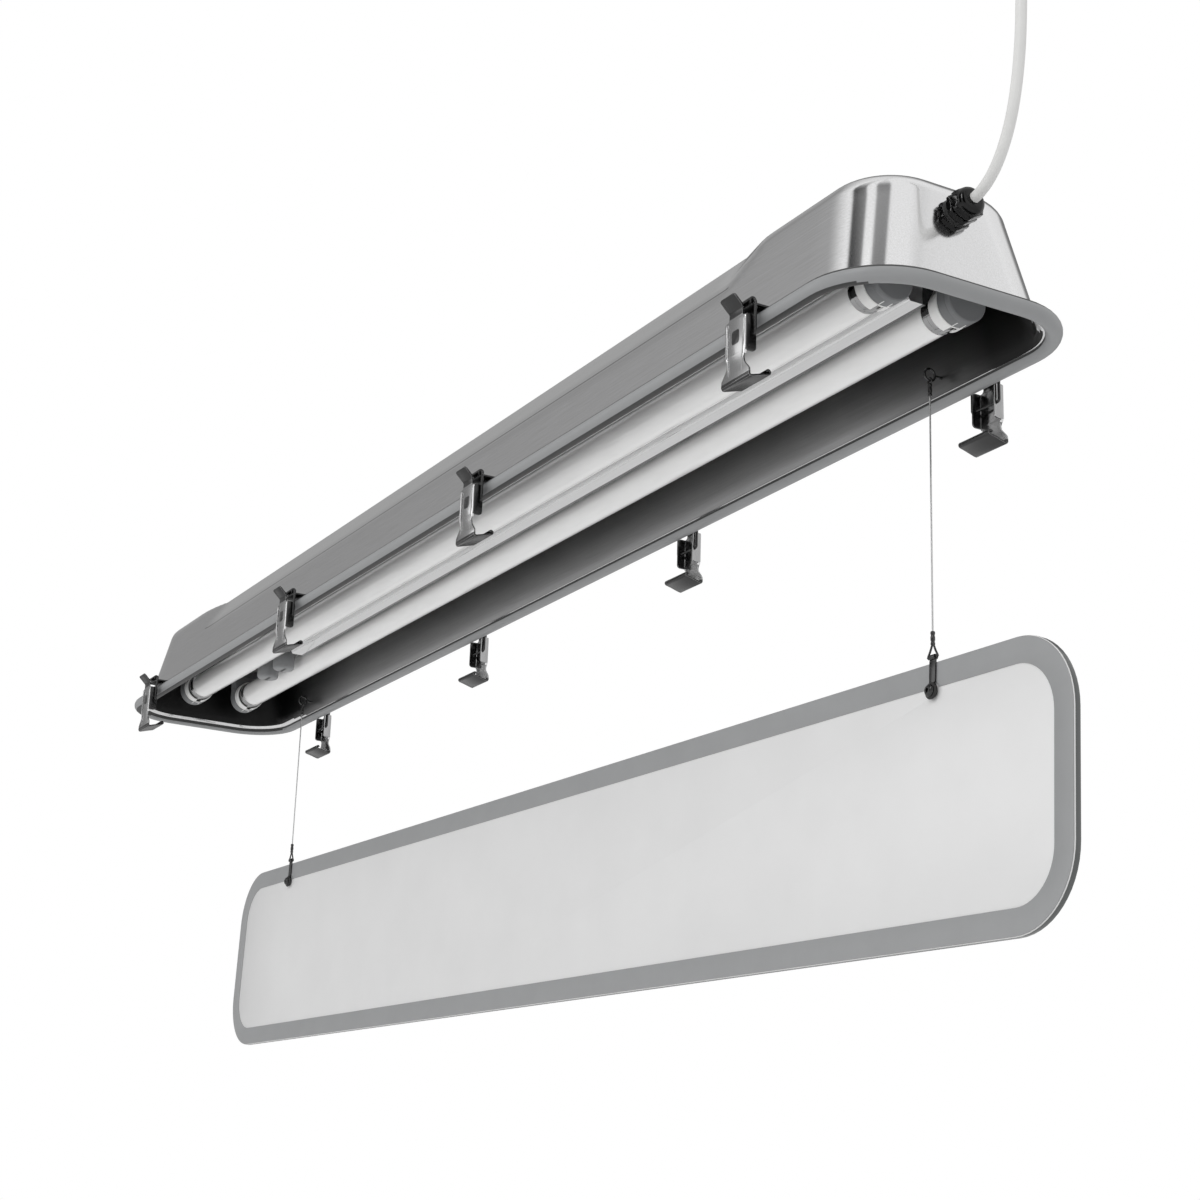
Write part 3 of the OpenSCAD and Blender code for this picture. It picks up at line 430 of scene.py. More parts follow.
# how many times finer the streaks are along X, Y and Z
ROLLED, FOLDED, PRESSED = (0.6, 22, 22), (0.5, 25, 25), (30, 30, 2)
HOUSING = steel("housing_steel", 0.74, 0.10, ROLLED, 50.0, 0.03, 0.06)
# the outer steel carries a thin line of painted shade along the fold under its bevel
painted_fold_shade(HOUSING, 0.030, 0.0006, 0.485, 0.3)
# the housing's inside is a darker copy of its steel for painted shade, fading to near black towards both ends as more
# painted shade
INSIDE_SHADE = steel("housing_inside_painted_shade_steel", 0.27, 0.34, ROLLED, 50.0, 0.04, 0.06)
painted_end_shade(INSIDE_SHADE, 0.42, 0.58, 0.07)
# a lighter copy of the housing steel, for painted light on the inside of the near end wall
END_LIT = steel("housing_end_painted_light_steel", 0.9, 0.4, ROLLED, 50.0, 0.03)
TRAY = steel("tray_steel", 0.70, 0.10, FOLDED, 50.0, 0.03, 0.05)
# a dark copy of the tray steel, for painted shade along the ridge's bend
TRAY_BEND_SHADE = steel("tray_bend_painted_shade_steel", 0.10, 0.2, FOLDED, 50.0, 0.03)
PLAIN = steel("plain_steel", 0.55, 0.25, (4, 4, 4), 120.0)
# dark steel for the links, eyes, straps and bolts, also used as painted shade on the housing's flange beside the
# gasket
DARK_STEEL_AND_SHADE = steel("dark_steel_and_painted_shade", 0.07, 0.25, (8, 8, 8), 120.0)
CLIP = steel("clip_steel", 0.42, 0.2, PRESSED, 90.0, 0.04)
# lit and shaded copies of the clip steel: painted highlight and painted shade
CLIP_HIGHLIGHT = steel("clip_painted_highlight_steel", 0.8, 0.12, PRESSED, 90.0, 0.04)
CLIP_SHADE = steel("clip_painted_shade_steel", 0.06, 0.25, PRESSED, 90.0, 0.05)
WIRE = steel("wire_steel", 0.6, 0.3, (40, 40, 40), 200.0)
# the gland's metal is made near black, a painted dark reflection; its highlights come from the lamps
GLAND_DARK_REFLECTION = steel("gland_metal", 0.03, 0.1, (6, 6, 6), 80.0, 0.02)
GASKET = plastic("gasket_rubber", (0.29, 0.295, 0.30), 0.45, 0.25, 500.0)
# a dark copy of the gasket rubber, for painted shade on the bead
GASKET_SHADE = plastic("gasket_painted_shade_rubber", (0.03, 0.03, 0.03), 0.5, 0.25, 500.0)
RUBBER = plastic("black_rubber", (0.02, 0.02, 0.02), 0.6, 0.2, 700.0)
WHITE = plastic("white_plastic", (0.86, 0.86, 0.85), 0.35)
GREY = plastic("grey_plastic", (0.17, 0.175, 0.18), 0.45)
STARTER = plastic("starter_grey", (0.24, 0.245, 0.25), 0.4)
SHEATH = plastic("lead_sheath", (0.72, 0.72, 0.71), 0.45, 0.1, 600.0)
CORE = plastic("core_insulation", (0.06, 0.06, 0.065), 0.4)
LAMP_CAP = steel("lamp_cap", 0.34, 0.08, (20, 2, 2), 90.0, 0.03)
BRASS_PIN = steel("lamp_pin", 0.6, 0.2, (3, 3, 3), 90.0)
BALLAST = laminated()
CAPACITOR = plastic("capacitor_can", (0.82, 0.82, 0.80), 0.4)
TERMINAL = plastic("terminal_nylon", (0.78, 0.78, 0.74), 0.5)
LAMP_GLASS = lamp_glass()
COVER_GLASS = cover_glass()
COVER_EDGE = plastic("cover_glass_edge", (0.10, 0.105, 0.105), 0.12, 0.02, 900.0)
COVER_BAND = plastic("cover_band_enamel", (0.30, 0.305, 0.31), 0.4, 0.1, 400.0)


# free cords: the supply lead and the two safety wires
def between(points, n):
    """Smooth curve through the points, with n steps between each pair."""
    pts = [Vector(p) for p in points]
    out = []
    for i in range(len(pts) - 1):
        p0 = pts[i - 1] if i else pts[0] * 2 - pts[1]
        p1, p2 = pts[i], pts[i + 1]
        p3 = pts[i + 2] if i + 2 < len(pts) else p2 * 2 - p1
        for j in range(n):
            t = j / n
            out.append(((p1 * 2) + (p2 - p0) * t + (p0 * 2 - p1 * 5 + p2 * 4 - p3) * t * t
                        + (p1 * 3 - p0 - p2 * 3 + p3) * t ** 3) * 0.5)
    out.append(pts[-1])
    return out


LEAD_D, CORE_D = 7.0, 1.8
LEAD_MOUTH, LEAD_OUT = (655.134, 0.0, -20.208), (0.98540, 0, 0.17026)
LEAD_ROUTE = [(0, 0), (5.5, 1.7), (11.9, 5), (18.1, 10), (23.5, 16.3), (28.3, 23.8), (32.5, 32.2), (36.1, 41.7),
              (39.1, 52.2), (41.6, 63.7), (43.6, 76.2), (45.1, 89.7), (46.1, 104.2), (46.7, 119.2), (46.9, 134.2),
              (46.9, 150.2)]
# a core's insulation, its cut end and its copper: heights above the sheath's end, material and radii
CORE_RUNS = [((-0.4, 3, 6, 9, 12), 0, None), ((11.0, 11.4, 12.8, 13.2), 0, (0.9, 1.0, 1.0, 0.72)),
             ((13.0, 15.0, 19.0, 20.8, 21.0), 1, (0.7, 0.7, 0.68, 0.68, 0.55))]


def make_lead():
    pts = between([(LEAD_MOUTH[0] + x, 0.0, LEAD_MOUTH[2] + z) for x, z in LEAD_ROUTE], 2)
    b = Build()
    tube(b, pts, LEAD_D, 32, first=LEAD_OUT)
    lead = b.object("supply_lead_sheath", [SHEATH], "housing", "supply_lead", "lead_sheath", 50.0)
    b = Build()
    for k in range(3):
        a = radians(120 * k)
        foot = pts[-1] + Vector((cos(a), sin(a), 0)) * (LEAD_D / 4)
        for heights, mat, radii in CORE_RUNS:
            tube(b, [foot + Vector((0, 0, z)) for z in heights], CORE_D, 16, mat, radii=radii)
    cores = b.object("supply_lead_cores", [CORE, BRASS_PIN], "housing", "lead_cores", "wiring", 40.0)


WIRE_X, WIRE_Y, WIRE_D = (529.4, -529.4), 63.6, 1.2
EYE_Z, LINK_Z, LINK_D, WIRE_TOP, FOOT_LIFT = -76.0, -80.3, 1.4, -91.2, 17.0
STRANDS, STRAND_TURN = 6, 9.0
COVER_Z, COVER_TILT, COVER_ROLL = -256.8, radians(0.9), radians(1.2)
SLEEVE_L = 9.0
SLEEVE = [(0.0, 0.62), (0.0, 1.2), (0.3, 1.45), (1.2, 1.5), (1.8, 1.28), (2.6, 1.25), (3.2, 1.5), (5.4, 1.5),
          (6.0, 1.27), (6.8, 1.25), (7.4, 1.5), (8.6, 1.46), (SLEEVE_L, 1.2), (SLEEVE_L, 0.62)]
# one leg of the stirrup, which spreads to the pin that carries the cover
LEG = [(0.55, 10.4), (0.95, 7.8), (2.6, 4.4), (4.5, 1.4), (5.0, 0.4), (4.6, 0.0), (3.0, 0.0)]


def hang_z(x):
    """Height of the cover's pivot under the wire at x."""
    return COVER_Z - x * sin(COVER_ROLL)


def make_safety_wires():
    steps, around = 260, 24
    c, t = cos(COVER_ROLL), sin(COVER_ROLL)
    for name, x in zip(("near", "far"), WIRE_X):
        b = Build()
        y, foot = WIRE_Y, hang_z(x) + FOOT_LIFT
        rings = []
        for i in range(steps + 1):
            z = WIRE_TOP + (foot - WIRE_TOP) * i / steps
            twist = 2 * pi * (z - WIRE_TOP) / STRAND_TURN
            rings.append([])
            for k in range(around):
                a = 2 * pi * k / around
                r = WIRE_D / 2 * (0.93 + 0.07 * cos(STRANDS * (a - twist)))
                rings[-1].append((x + r * cos(a), y + r * sin(a), z))
        loft(b, rings)
        wire = b.object(f"safety_wire_rope_{name}", [WIRE], "safety_wires", f"safety_wire_{name}", "wire_steel",
                        80.0)
        b = Build()
        for z0 in (WIRE_TOP, foot - SLEEVE_L):
            lathe(b, SLEEVE, 28, 0, "z", (x, y, z0))
        tube(b, [(p, y, q) for p, q in arc(x, LINK_Z, 1.9, 0, 348, 29)], LINK_D, 14, 0, True)
        legs = [(-p, q) for p, q in LEG] + [(0.0, 0.0)] + LEG[::-1]
        tube(b, [(x * c + p * c + q * t, y, hang_z(x) - p * t + q * c) for p, q in legs], LINK_D, 14)
        ends = b.object(f"safety_wire_links_{name}", [DARK_STEEL_AND_SHADE], "safety_wires", "wire_links", "wire_steel", 40.0)


make_lead()
make_safety_wires()


# the light's main sizes: rim, sheet, drawn foot, gasket, leaning walls and rounded top edge
L, W, H = 1326.0, 180.0, 90.0
RIM_R, INSET, T = 55.0, 13.5, 1.2
FOOT_L, FOOT_W, FOOT_R = L - 2 * INSET, W - 2 * INSET, RIM_R - INSET
GASKET_D, FLANGE_IN = 11.0, 4.5
WALL_H = H - GASKET_D / 2
END_LEAN, SIDE_LEAN, EDGE_R = 14.6, 17.2, 16.0
END_A, SIDE_A = atan(END_LEAN / WALL_H), atan(SIDE_LEAN / WALL_H)
BEAD_Z = -H + GASKET_D / 2
FLANGE_Z = BEAD_Z - T / 2


def side_wall_y(depth):
    return FOOT_W / 2 - SIDE_LEAN * (1 - depth / WALL_H)


def end_wall_x(depth):
    return FOOT_L / 2 - END_LEAN * (1 - depth / WALL_H)


def soft(d, k):
    """Nought well below nought and d well above it, with a smooth turn k wide."""
    return k * log(1 + exp(d / k)) if d / k < 30 else d


# the long bevel's plane in Y and Z, and how it runs out towards the ends
BEV_TOP, BEV_FOOT = (46.0, 0.0), (side_wall_y(30.0), -30.0)
BEV_LEN = hypot(BEV_FOOT[0] - BEV_TOP[0], BEV_FOOT[1] - BEV_TOP[1])
BEV_N = (-(BEV_FOOT[1] - BEV_TOP[1]) / BEV_LEN, (BEV_FOOT[0] - BEV_TOP[0]) / BEV_LEN)
BEV_END, BEV_FADE, BEV_RISE, BEV_SOFT = L / 2 - 185.0, 60.0, 11.0, 0.45


def bevelled(x, y, z, inset):
    """Presses a point of the drawn trough in to the long bevel's plane."""
    out = BEV_RISE * max(0.0, (abs(x) - BEV_END) / BEV_FADE)
    s = 1 if y >= 0 else -1
    push = soft((abs(y) - BEV_TOP[0]) * BEV_N[0] + (z - BEV_TOP[1]) * BEV_N[1] - out + inset, BEV_SOFT)
    if push < 1e-4:
        return (x, y, z)
    return (x, s * (abs(y) - BEV_N[0] * push), z - BEV_N[1] * push)


# stations along the light, close together where the bevel runs out
X_MARKS = sorted([s * x for s in (-1, 1) for x in [478 + 7.5 * i for i in range(9)] + [552, 566, 582]]
                 + [-455 + 35 * i for i in range(27)])
CORNER_SEG = 12


def ring_at(hx, hy, r, z):
    """Rounded rectangle at one height, with the stations on its long runs."""
    cx, cy = hx - r, hy - r
    pts = [(hx, -cy * (1 - 2 * i / 4)) for i in range(4)] + arc(cx, cy, r, 0, 90, CORNER_SEG)
    pts += [(x, hy) for x in reversed(X_MARKS)] + arc(-cx, cy, r, 90, 180, CORNER_SEG)
    pts += [(-hx, cy * (1 - 2 * i / 4)) for i in range(1, 4)] + arc(-cx, -cy, r, 180, 270, CORNER_SEG)
    pts += [(x, -hy) for x in X_MARKS] + arc(cx, -cy, r, 270, 360, CORNER_SEG)[:-1]
    return [(x, y, z) for x, y in pts]


def trough_rings(inset):
    """Rings from the foot up to the flat top, on the outer face or inset mm inside it."""
    ex = end_wall_x(EDGE_R) - EDGE_R / cos(END_A)
    ey = side_wall_y(EDGE_R) - EDGE_R / cos(SIDE_A)
    er = EDGE_R - inset
    turn = FOOT_R + 2 - EDGE_R
    foot_z = FLANGE_Z + T if inset == 0 else FLANGE_Z
    bend = 2.6 + inset
    foot = (FOOT_L / 2 - inset, FOOT_W / 2 - inset, FOOT_R - inset)
    top = (ex + er * cos(END_A), ey + er * cos(SIDE_A), turn + er * cos(END_A), -EDGE_R + er * sin(END_A))
    prof = []
    # the bend from the flange up into the wall, the wall, and the rounded top edge
    bends, walls, edges = 5, 10, 14
    for i in range(bends):
        a = pi / 2 * i / bends
        prof.append([v + bend * (1 - sin(a)) for v in foot] + [foot_z + bend * (1 - cos(a))])
    for i in range(walls + 1):
        z = foot_z + bend + (top[3] - (foot_z + bend)) * (i / walls)
        w = (z - foot_z) / (top[3] - foot_z)
        prof.append([v + (u - v) * w for v, u in zip(foot, top)] + [z])
    for i in range(1, edges + 1):
        a = END_A + (pi / 2 - END_A) * i / edges
        c = SIDE_A + (pi / 2 - SIDE_A) * i / edges
        prof.append((ex + er * cos(a), ey + er * cos(c), turn + er * cos(a), -EDGE_R + er * sin(a)))
    return [[bevelled(x, y, z, inset) for x, y, z in ring_at(*p)] for p in prof]


GLAND_DEPTH, GLAND_HOLE = 23.0, 8.08
MOUNT_X, MOUNT_HOLE = 400.0, 4.0


def on_gland(p):
    """Places a point drawn about the gland's axis: mm out from the end wall, across and up."""
    s, u, v = p
    x, z = s * cos(END_A) - v * sin(END_A), s * sin(END_A) + v * cos(END_A)
    return (end_wall_x(GLAND_DEPTH) + 0.1 + x, u, -GLAND_DEPTH + z)


def make_housing():
    b = Build()
    flange = L / 2 - FLANGE_IN, W / 2 - FLANGE_IN, RIM_R - FLANGE_IN
    outer = [ring_at(*flange, FLANGE_Z + T)] + trough_rings(0.0)
    inner = [ring_at(*flange, FLANGE_Z)] + trough_rings(T)
    n = len(outer[0])
    rings = list(reversed(outer)) + inner
    caps = [tuple(range(n)), tuple(reversed(range((len(rings) - 1) * n, len(rings) * n)))]
    b.add([p for r in rings for p in r], grid_faces(len(rings), n) + caps)
    # painted shade on the flange strip beside the gasket, with no groove drawn; the flange's bend keeps the outer
    # steel's tone in a band that widens over the far end; the inside is painted shade but for the near end wall,
    # which is painted light
    far_x, far_step, end_x, end_y, end_z = -555, 14, L / 2 - 60, 66, -20
    groove_shade = len(outer) * n
    b.m[groove_shade:groove_shade + n] = [2] * n
    for k in range(groove_shade + 2 * n, (len(rings) - 1) * n):
        mid = sum((Vector(b.v[i]) for i in b.f[k]), Vector()) / 4
        if k // n - len(outer) >= 2 + min(3.0, (far_x - mid.x) / far_step):
            b.m[k] = 3 if mid.x > end_x and abs(mid.y) < end_y and mid.z < end_z else 1
    b.m[-1] = 1
    holes = [drill(MOUNT_HOLE, -4, 4, 40, axis="z", at=(s * MOUNT_X, 0, 0)) for s in (-1, 1)]
    b.object("housing", [HOUSING, INSIDE_SHADE, DARK_STEEL_AND_SHADE, END_LIT], "housing", "housing_shell", "housing_steel", 30.0,
             cutters=holes + [drill(GLAND_HOLE, -8, 8, 40, place=on_gland)])


make_housing()


def make_gasket():
    b = Build()
    r = GASKET_D / 2
    path = ring_at(L / 2 - r, W / 2 - r, RIM_R - r, BEAD_Z)
    n = len(path)
    slot_z = T / 2 + 0.02
    half = asin(slot_z / r)
    # the bead's section, with the slot that takes the flange open on its inner side
    steps = 24
    turns = [-pi + half + (2 * pi - 2 * half) * k / steps for k in range(steps + 1)]
    section = [(r * cos(a), r * sin(a)) for a in turns] + [(r - FLANGE_IN, slot_z), (r - FLANGE_IN, -slot_z)]
    rings = []
    for i, p in enumerate(path):
        t = (Vector(path[(i + 1) % n]) - Vector(path[i - 1])).normalized()
        out = Vector((t.y, -t.x, 0))
        rings.append([Vector(p) + out * u + Vector((0, 0, v)) for u, v in section])
    loft(b, rings, 0, False, closed=True)
    # the bead is painted in shade where it closes on the flange above and below, and over the lower inner side of one
    # long run, where the painted shade widens by a face every 3 mm
    widest, above, last = 7, range(14, 19), len(section) - 1
    for k in range(len(b.f)):
        step = k % len(section)
        x, y = b.v[b.f[k][0]][:2]
        low = min(widest, max(0 if x > 0 or y > 78 else 1, round(1 + (-y - 60) / 3)))
        if step <= low or step in above or step == last:
            b.m[k] = 1
    b.object("rim_gasket_bead", [GASKET, GASKET_SHADE], "housing", "rim_gasket", "gasket", 40.0)


make_gasket()


# the folded tray between the lamps and the gear
TRAY_Z, TRAY_T = -H + 48.0, 1.0
TRAY_HALF, TRAY_CORNER, TRAY_END = 65, 34, 590
RIDGE_Z, RIDGE_X0, RIDGE_X1 = -H + 22.0, -390.0, 599.5


def fillet(points, radius, seg):
    """Rounds the inner corners of an open polyline."""
    out = [points[0]]
    for i in range(1, len(points) - 1):
        p, a, c = Vector(points[i]), Vector(points[i - 1]), Vector(points[i + 1])
        u, v = (a - p).normalized(), (c - p).normalized()
        half = u.angle(v) / 2
        cut_len = min(radius / tan(half), (a - p).length * 0.49, (c - p).length * 0.49)
        centre = p + (u + v).normalized() * (cut_len * tan(half) / sin(half))
        s, e = p + u * cut_len - centre, p + v * cut_len - centre
        ang = s.angle(e)
        for j in range(seg + 1):
            t = j / seg
            out.append(tuple(centre + s * (sin((1 - t) * ang) / sin(ang)) + e * (sin(t * ang) / sin(ang))))
    out.append(points[-1])
    return out


def offset(points, d):
    """Moves an open 2D polyline sideways by d, to its left."""
    pts = [Vector(p) for p in points]
    out = []
    for i, p in enumerate(pts):
        dirs = []
        if i > 0:
            dirs.append((p - pts[i - 1]).normalized())
        if i < len(pts) - 1:
            dirs.append((pts[i + 1] - p).normalized())
        nrm = sum((Vector((-q.y, q.x)) for q in dirs), Vector((0, 0))).normalized()
        k = nrm.dot(Vector((-dirs[0].y, dirs[0].x)))
        out.append(tuple(p + nrm * (d / k)))
    return out


def ribbon(b, path, thick, x0, x1, mat=0, place=None, parts=1):
    """A strip bent along a 2D path in Y and Z, thick mm thick, from x0 to x1."""
    left, right = offset(path, thick / 2), offset(path, -thick / 2)
    loop = left + list(reversed(right))
    rings = [[(x0 + (x1 - x0) * i / parts, p[0], p[1]) for p in loop] for i in range(parts + 1)]
    n = len(loop)
    m = len(path)
    verts = [p for r in rings for p in r]
    faces = grid_faces(parts + 1, n)
    for base, flip in ((0, False), (parts * n, True)):
        for i in range(m - 1):
            q = (base + i, base + i + 1, base + n - 2 - i, base + n - 1 - i)
            faces.append(tuple(reversed(q)) if flip else q)
    b.add(verts, faces, mat, place)


def make_tray():
    root, flat = 19.6, 6.3
    low = fillet([(TRAY_HALF, TRAY_Z), (root, TRAY_Z), (flat, RIDGE_Z), (-flat, RIDGE_Z), (-root, TRAY_Z),
                  (-TRAY_HALF, TRAY_Z)], 1.6, 4)
    shelf, mid = 28.0, 45.0
    low = [low[0], (mid, TRAY_Z), (shelf, TRAY_Z)] + low[1:-1] + [(-shelf, TRAY_Z), (-mid, TRAY_Z), low[-1]]
    low.insert(13, (3.3, RIDGE_Z))
    high = offset(low, -TRAY_T)
    # stations along the light: place, half width, and one where the ridge stands
    inner = TRAY_HALF - TRAY_CORNER
    corner = [(TRAY_END + TRAY_CORNER * sind(a), inner + TRAY_CORNER * cosd(a))
              for a in range(0, 91, 10)]
    end_w = inner + sqrt(TRAY_CORNER ** 2 - (RIDGE_X1 - TRAY_END) ** 2)
    stations = [(-x, w, 0) for x, w in reversed(corner)]
    stations += [(x, TRAY_HALF, 0) for x in (-540, -490, -440, RIDGE_X0)]
    stations += [(RIDGE_X0 + 50 * i, TRAY_HALF, 1) for i in range(20)]
    stations += [(x, w, 1) for x, w in corner if x <= RIDGE_X1] + [(RIDGE_X1, end_w, 1), (RIDGE_X1, end_w, 0)]
    stations += [(x, w, 0) for x, w in corner if x > RIDGE_X1]

    def row(line, station, top):
        x, w, h = station
        base = TRAY_Z
        if top:
            base += TRAY_T
            x = {RIDGE_X0: RIDGE_X0 + TRAY_T, RIDGE_X1: RIDGE_X1 - TRAY_T}.get(x, x)
        edge = {0: w, 1: (w + shelf) / 2, len(line) - 2: -((w + shelf) / 2), len(line) - 1: -w}
        return [(x, edge.get(i, y), base + (z - base) * h) for i, (y, z) in enumerate(line)]
    n = len(low)
    b = Build()
    k = len(stations) * n
    faces = grid_faces(len(stations), n, False)
    faces += [tuple(k + i for i in reversed(f)) for f in grid_faces(len(stations), n, False)]
    for i in range(len(stations) - 1):
        for c in (0, n - 1):
            p, q = i * n + c, (i + 1) * n + c
            faces.append((p, q, k + q, k + p))
    for r in (0, (len(stations) - 1) * n):
        faces += [(r + c, r + c + 1, k + r + c + 1, k + r + c) for c in range(n - 1)]
    b.add([p for line, top in ((low, False), (high, True)) for s in stations for p in row(line, s, top)], faces)
    # the bend along one edge of the ridge's crest is painted as a thin dark line of shade
    crest_bend_shade = range(7, 13)
    for k in range((len(stations) - 1) * (n - 1)):
        if k % (n - 1) in crest_bend_shade:
            b.m[k] = 1
    b.object("gear_tray_sheet", [TRAY, TRAY_BEND_SHADE], "housing", "gear_tray", "tray_steel", 30.0)


make_tray()

# lamps, their holders and collars
LAMP_L, LAMP_D, CAP_L = 1199.4, 26.0, 18.0
LAMP_Y, LAMP_Z = 28.2, -H + 27.0
HOLD_X = LAMP_L / 2 + 0.5
LAMP_ENDS = [(sx, y) for sx in (-1, 1) for y in (-LAMP_Y, LAMP_Y)]


def lamp_end(sx, y):
    """Turns a point drawn for the +X end to one end of the lamp at y."""
    return lambda p: (sx * p[0], y + sx * p[1], LAMP_Z + p[2])


def make_lamp(side, y):
    body = "lamp_" + side
    x0, x1 = LAMP_L / 2 - CAP_L, LAMP_L / 2
    r, ro, rp = LAMP_D / 2 - 0.2, LAMP_D / 2, 2.35 / 2
    b = Build()
    end = [(x0 + 2, r - 1.2), (x0 - 0.6, r - 0.5), (x0 - 3, r - 0.1), (x0 - 8, r)]
    prof = [(-x, q) for x, q in end] + [(x, r) for x in range(-540, 541, 60)] + end[::-1]
    lathe(b, prof, 64, 0, "x", (0, y, LAMP_Z), False)
    b.object(f"lamp_{side}_tube", [LAMP_GLASS], body, f"lamp_{side}_glass", "lamp_glass", 40.0)
    caps, discs = Build(), Build()
    for sx in (-1, 1):
        place = lamp_end(sx, y)
        lathe(caps, [(x0, ro - 1.0), (x0 + 0.4, ro - 0.25), (x0 + 1.2, ro), (x0 + 2.6, ro), (x0 + 3.2, ro - 0.45),
                     (x0 + 4.2, ro - 0.5), (x0 + 4.8, ro - 0.1), (x1 - 2.2, ro - 0.1), (x1 - 0.9, ro - 0.6),
                     (x1 - 0.25, ro - 1.9), (x1 - 0.25, ro - 4.4)], 64, 0, place=place, closed_profile=False)
        lathe(caps, [(x1 - 0.6, 8.4), (x1 - 0.05, 8.2), (x1 - 0.05, 3.0)], 40, 1, place=place, closed_profile=False)
        for k in (-1, 1):
            lathe(caps, [(x1 - 0.5, rp + 0.5), (x1 + 0.4, rp + 0.4), (x1 + 0.6, rp), (x1 + 5.9, rp),
                         (x1 + 6.7, rp - 0.25), (x1 + 7.1, rp - 0.75)], 20, 2, "x", (0, 0, k * 6.35), False, place)
        # the holder's turning disc: a ring with two ribs across it
        lathe(discs, [(x1 + 0.1, 9.4), (x1 + 0.5, 9.9), (x1 + 5.6, 9.9), (x1 + 5.9, 9.4), (x1 + 5.9, 8.7),
                      (x1 + 0.1, 8.7)], 40, place=place)
        lathe(discs, [(x1 + 0.8, 8.75), (x1 + 5.0, 8.75)], 40, closed_profile=False, place=place)
        for k in (-1, 1):
            box(discs, (x1 + 0.3, k * 2.4 - 0.5, -8.6), (x1 + 1.2, k * 2.4 + 0.5, 8.6), 0, place)
    caps.object(f"lamp_{side}_end_caps", [LAMP_CAP, GREY, BRASS_PIN], body, f"lamp_{side}_caps", "lamp_cap", 30.0)
    discs.object(f"lamp_{side}_rotor_discs", [WHITE], body, f"lamp_{side}_rotors", "white_plastic", 30.0)


def make_holders():
    b = Build()
    top = TRAY_Z - LAMP_Z
    out = [(15.0, top), (-15.0, top)] + arc(0, 0, 15.0, 180, 360, 20)
    n = len(out)
    shade = [(p[0] * 0.94, p[1] if p[1] > 1 else p[1] * 0.94) for p in out]
    waist = [(p[0] * 0.975, p[1]) for p in out]
    # the front face has the well for the turning disc; its circle's points match the outline's one by one
    well = [(10.3 * cosd(a), 10.3 * sind(a))
            for a in [45.0, 135.0] + [180.0 + 180.0 * i / (n - 3) for i in range(n - 2)]]
    for sx, y in LAMP_ENDS:
        place = lamp_end(sx, y)
        rings = [[(HOLD_X + s, *p) for p in line] for s, line in
                 ((7.3, well), (0, well), (0, shade), (0.9, out), (7.4, out), (7.6, waist), (8.2, waist), (8.4, out),
                  (11.2, out), (12.0, shade))]
        loft(b, rings, 0, True, place)
        # shoulders and the slot that the lamp's pins come in by
        for k in (-1, 1):
            box(b, (HOLD_X + 1.6, k * 15.0 - 0.6, 8.0), (HOLD_X + 10.4, k * 15.0 + 0.6, top - 0.2), 0, place)
            box(b, (HOLD_X + 0.4, k * 3.2 - 0.5, -14.7), (HOLD_X + 6.5, k * 3.2 + 0.5, -10.2), 1, place)
    b.object("lampholder_blocks", [GREY, WHITE], "housing", "lampholders", "grey_plastic", 30.0, 0.25)
    b = Build()
    for sx, y in LAMP_ENDS:
        collar(b, lamp_end(sx, y))
    b.object("lampholder_collar_rings", [WHITE], "housing", "lampholder_collars", "white_plastic", 30.0, 0.2)


def collar(b, place):
    """White ring round the lamp's cap, open below where the pins pass."""
    ri, ro = 13.32, 14.6
    x0, x1 = HOLD_X - 9.0, HOLD_X
    gap, n, bridge = 10.4, 72, 8
    prof = [(x0, ri + 0.3), (x0 + 0.35, ri), (x1, ri), (x1, ro), (x0 + 0.5, ro), (x0, ro - 0.4)]
    thin = [(x1 - 1.3, ri), (x1, ri), (x1, ro), (x1 - 1.3, ro)]
    for line, angles in ((prof, [-90 + gap + (360 - 2 * gap) * i / n for i in range(n + 1)]),
                         (thin, [-90 - gap + 2 * gap * i / bridge for i in range(bridge + 1)])):
        rings = [[(s, r * cosd(a), r * sind(a)) for s, r in line] for a in angles]
        loft(b, rings, 0, True, place)
    # three ribs that stiffen the ring against the block
    for a in (30, 90, 150):
        c, s = cosd(a), sind(a)
        u, v = Vector((0, c, s)), Vector((0, -s, c)) * 0.6
        mids = [Vector((q, 0, 0)) + u * k for q, k in
                ((x1 - 6, ri + 0.6), (x1, ri + 0.6), (x1, ro + 0.08), (x1 - 6, ro + 0.02))]
        loft(b, [[tuple(p + v) for p in mids], [tuple(p - v) for p in mids]], 0, True, place)


for _side, _y in (("left", -LAMP_Y), ("right", LAMP_Y)):
    make_lamp(_side, _y)
make_holders()

# starters and their sockets
STARTER_X = (RIDGE_X0 - 38.0, RIDGE_X0 - 80.0)
STARTER_R, STARTER_L = 10.75, 24.0


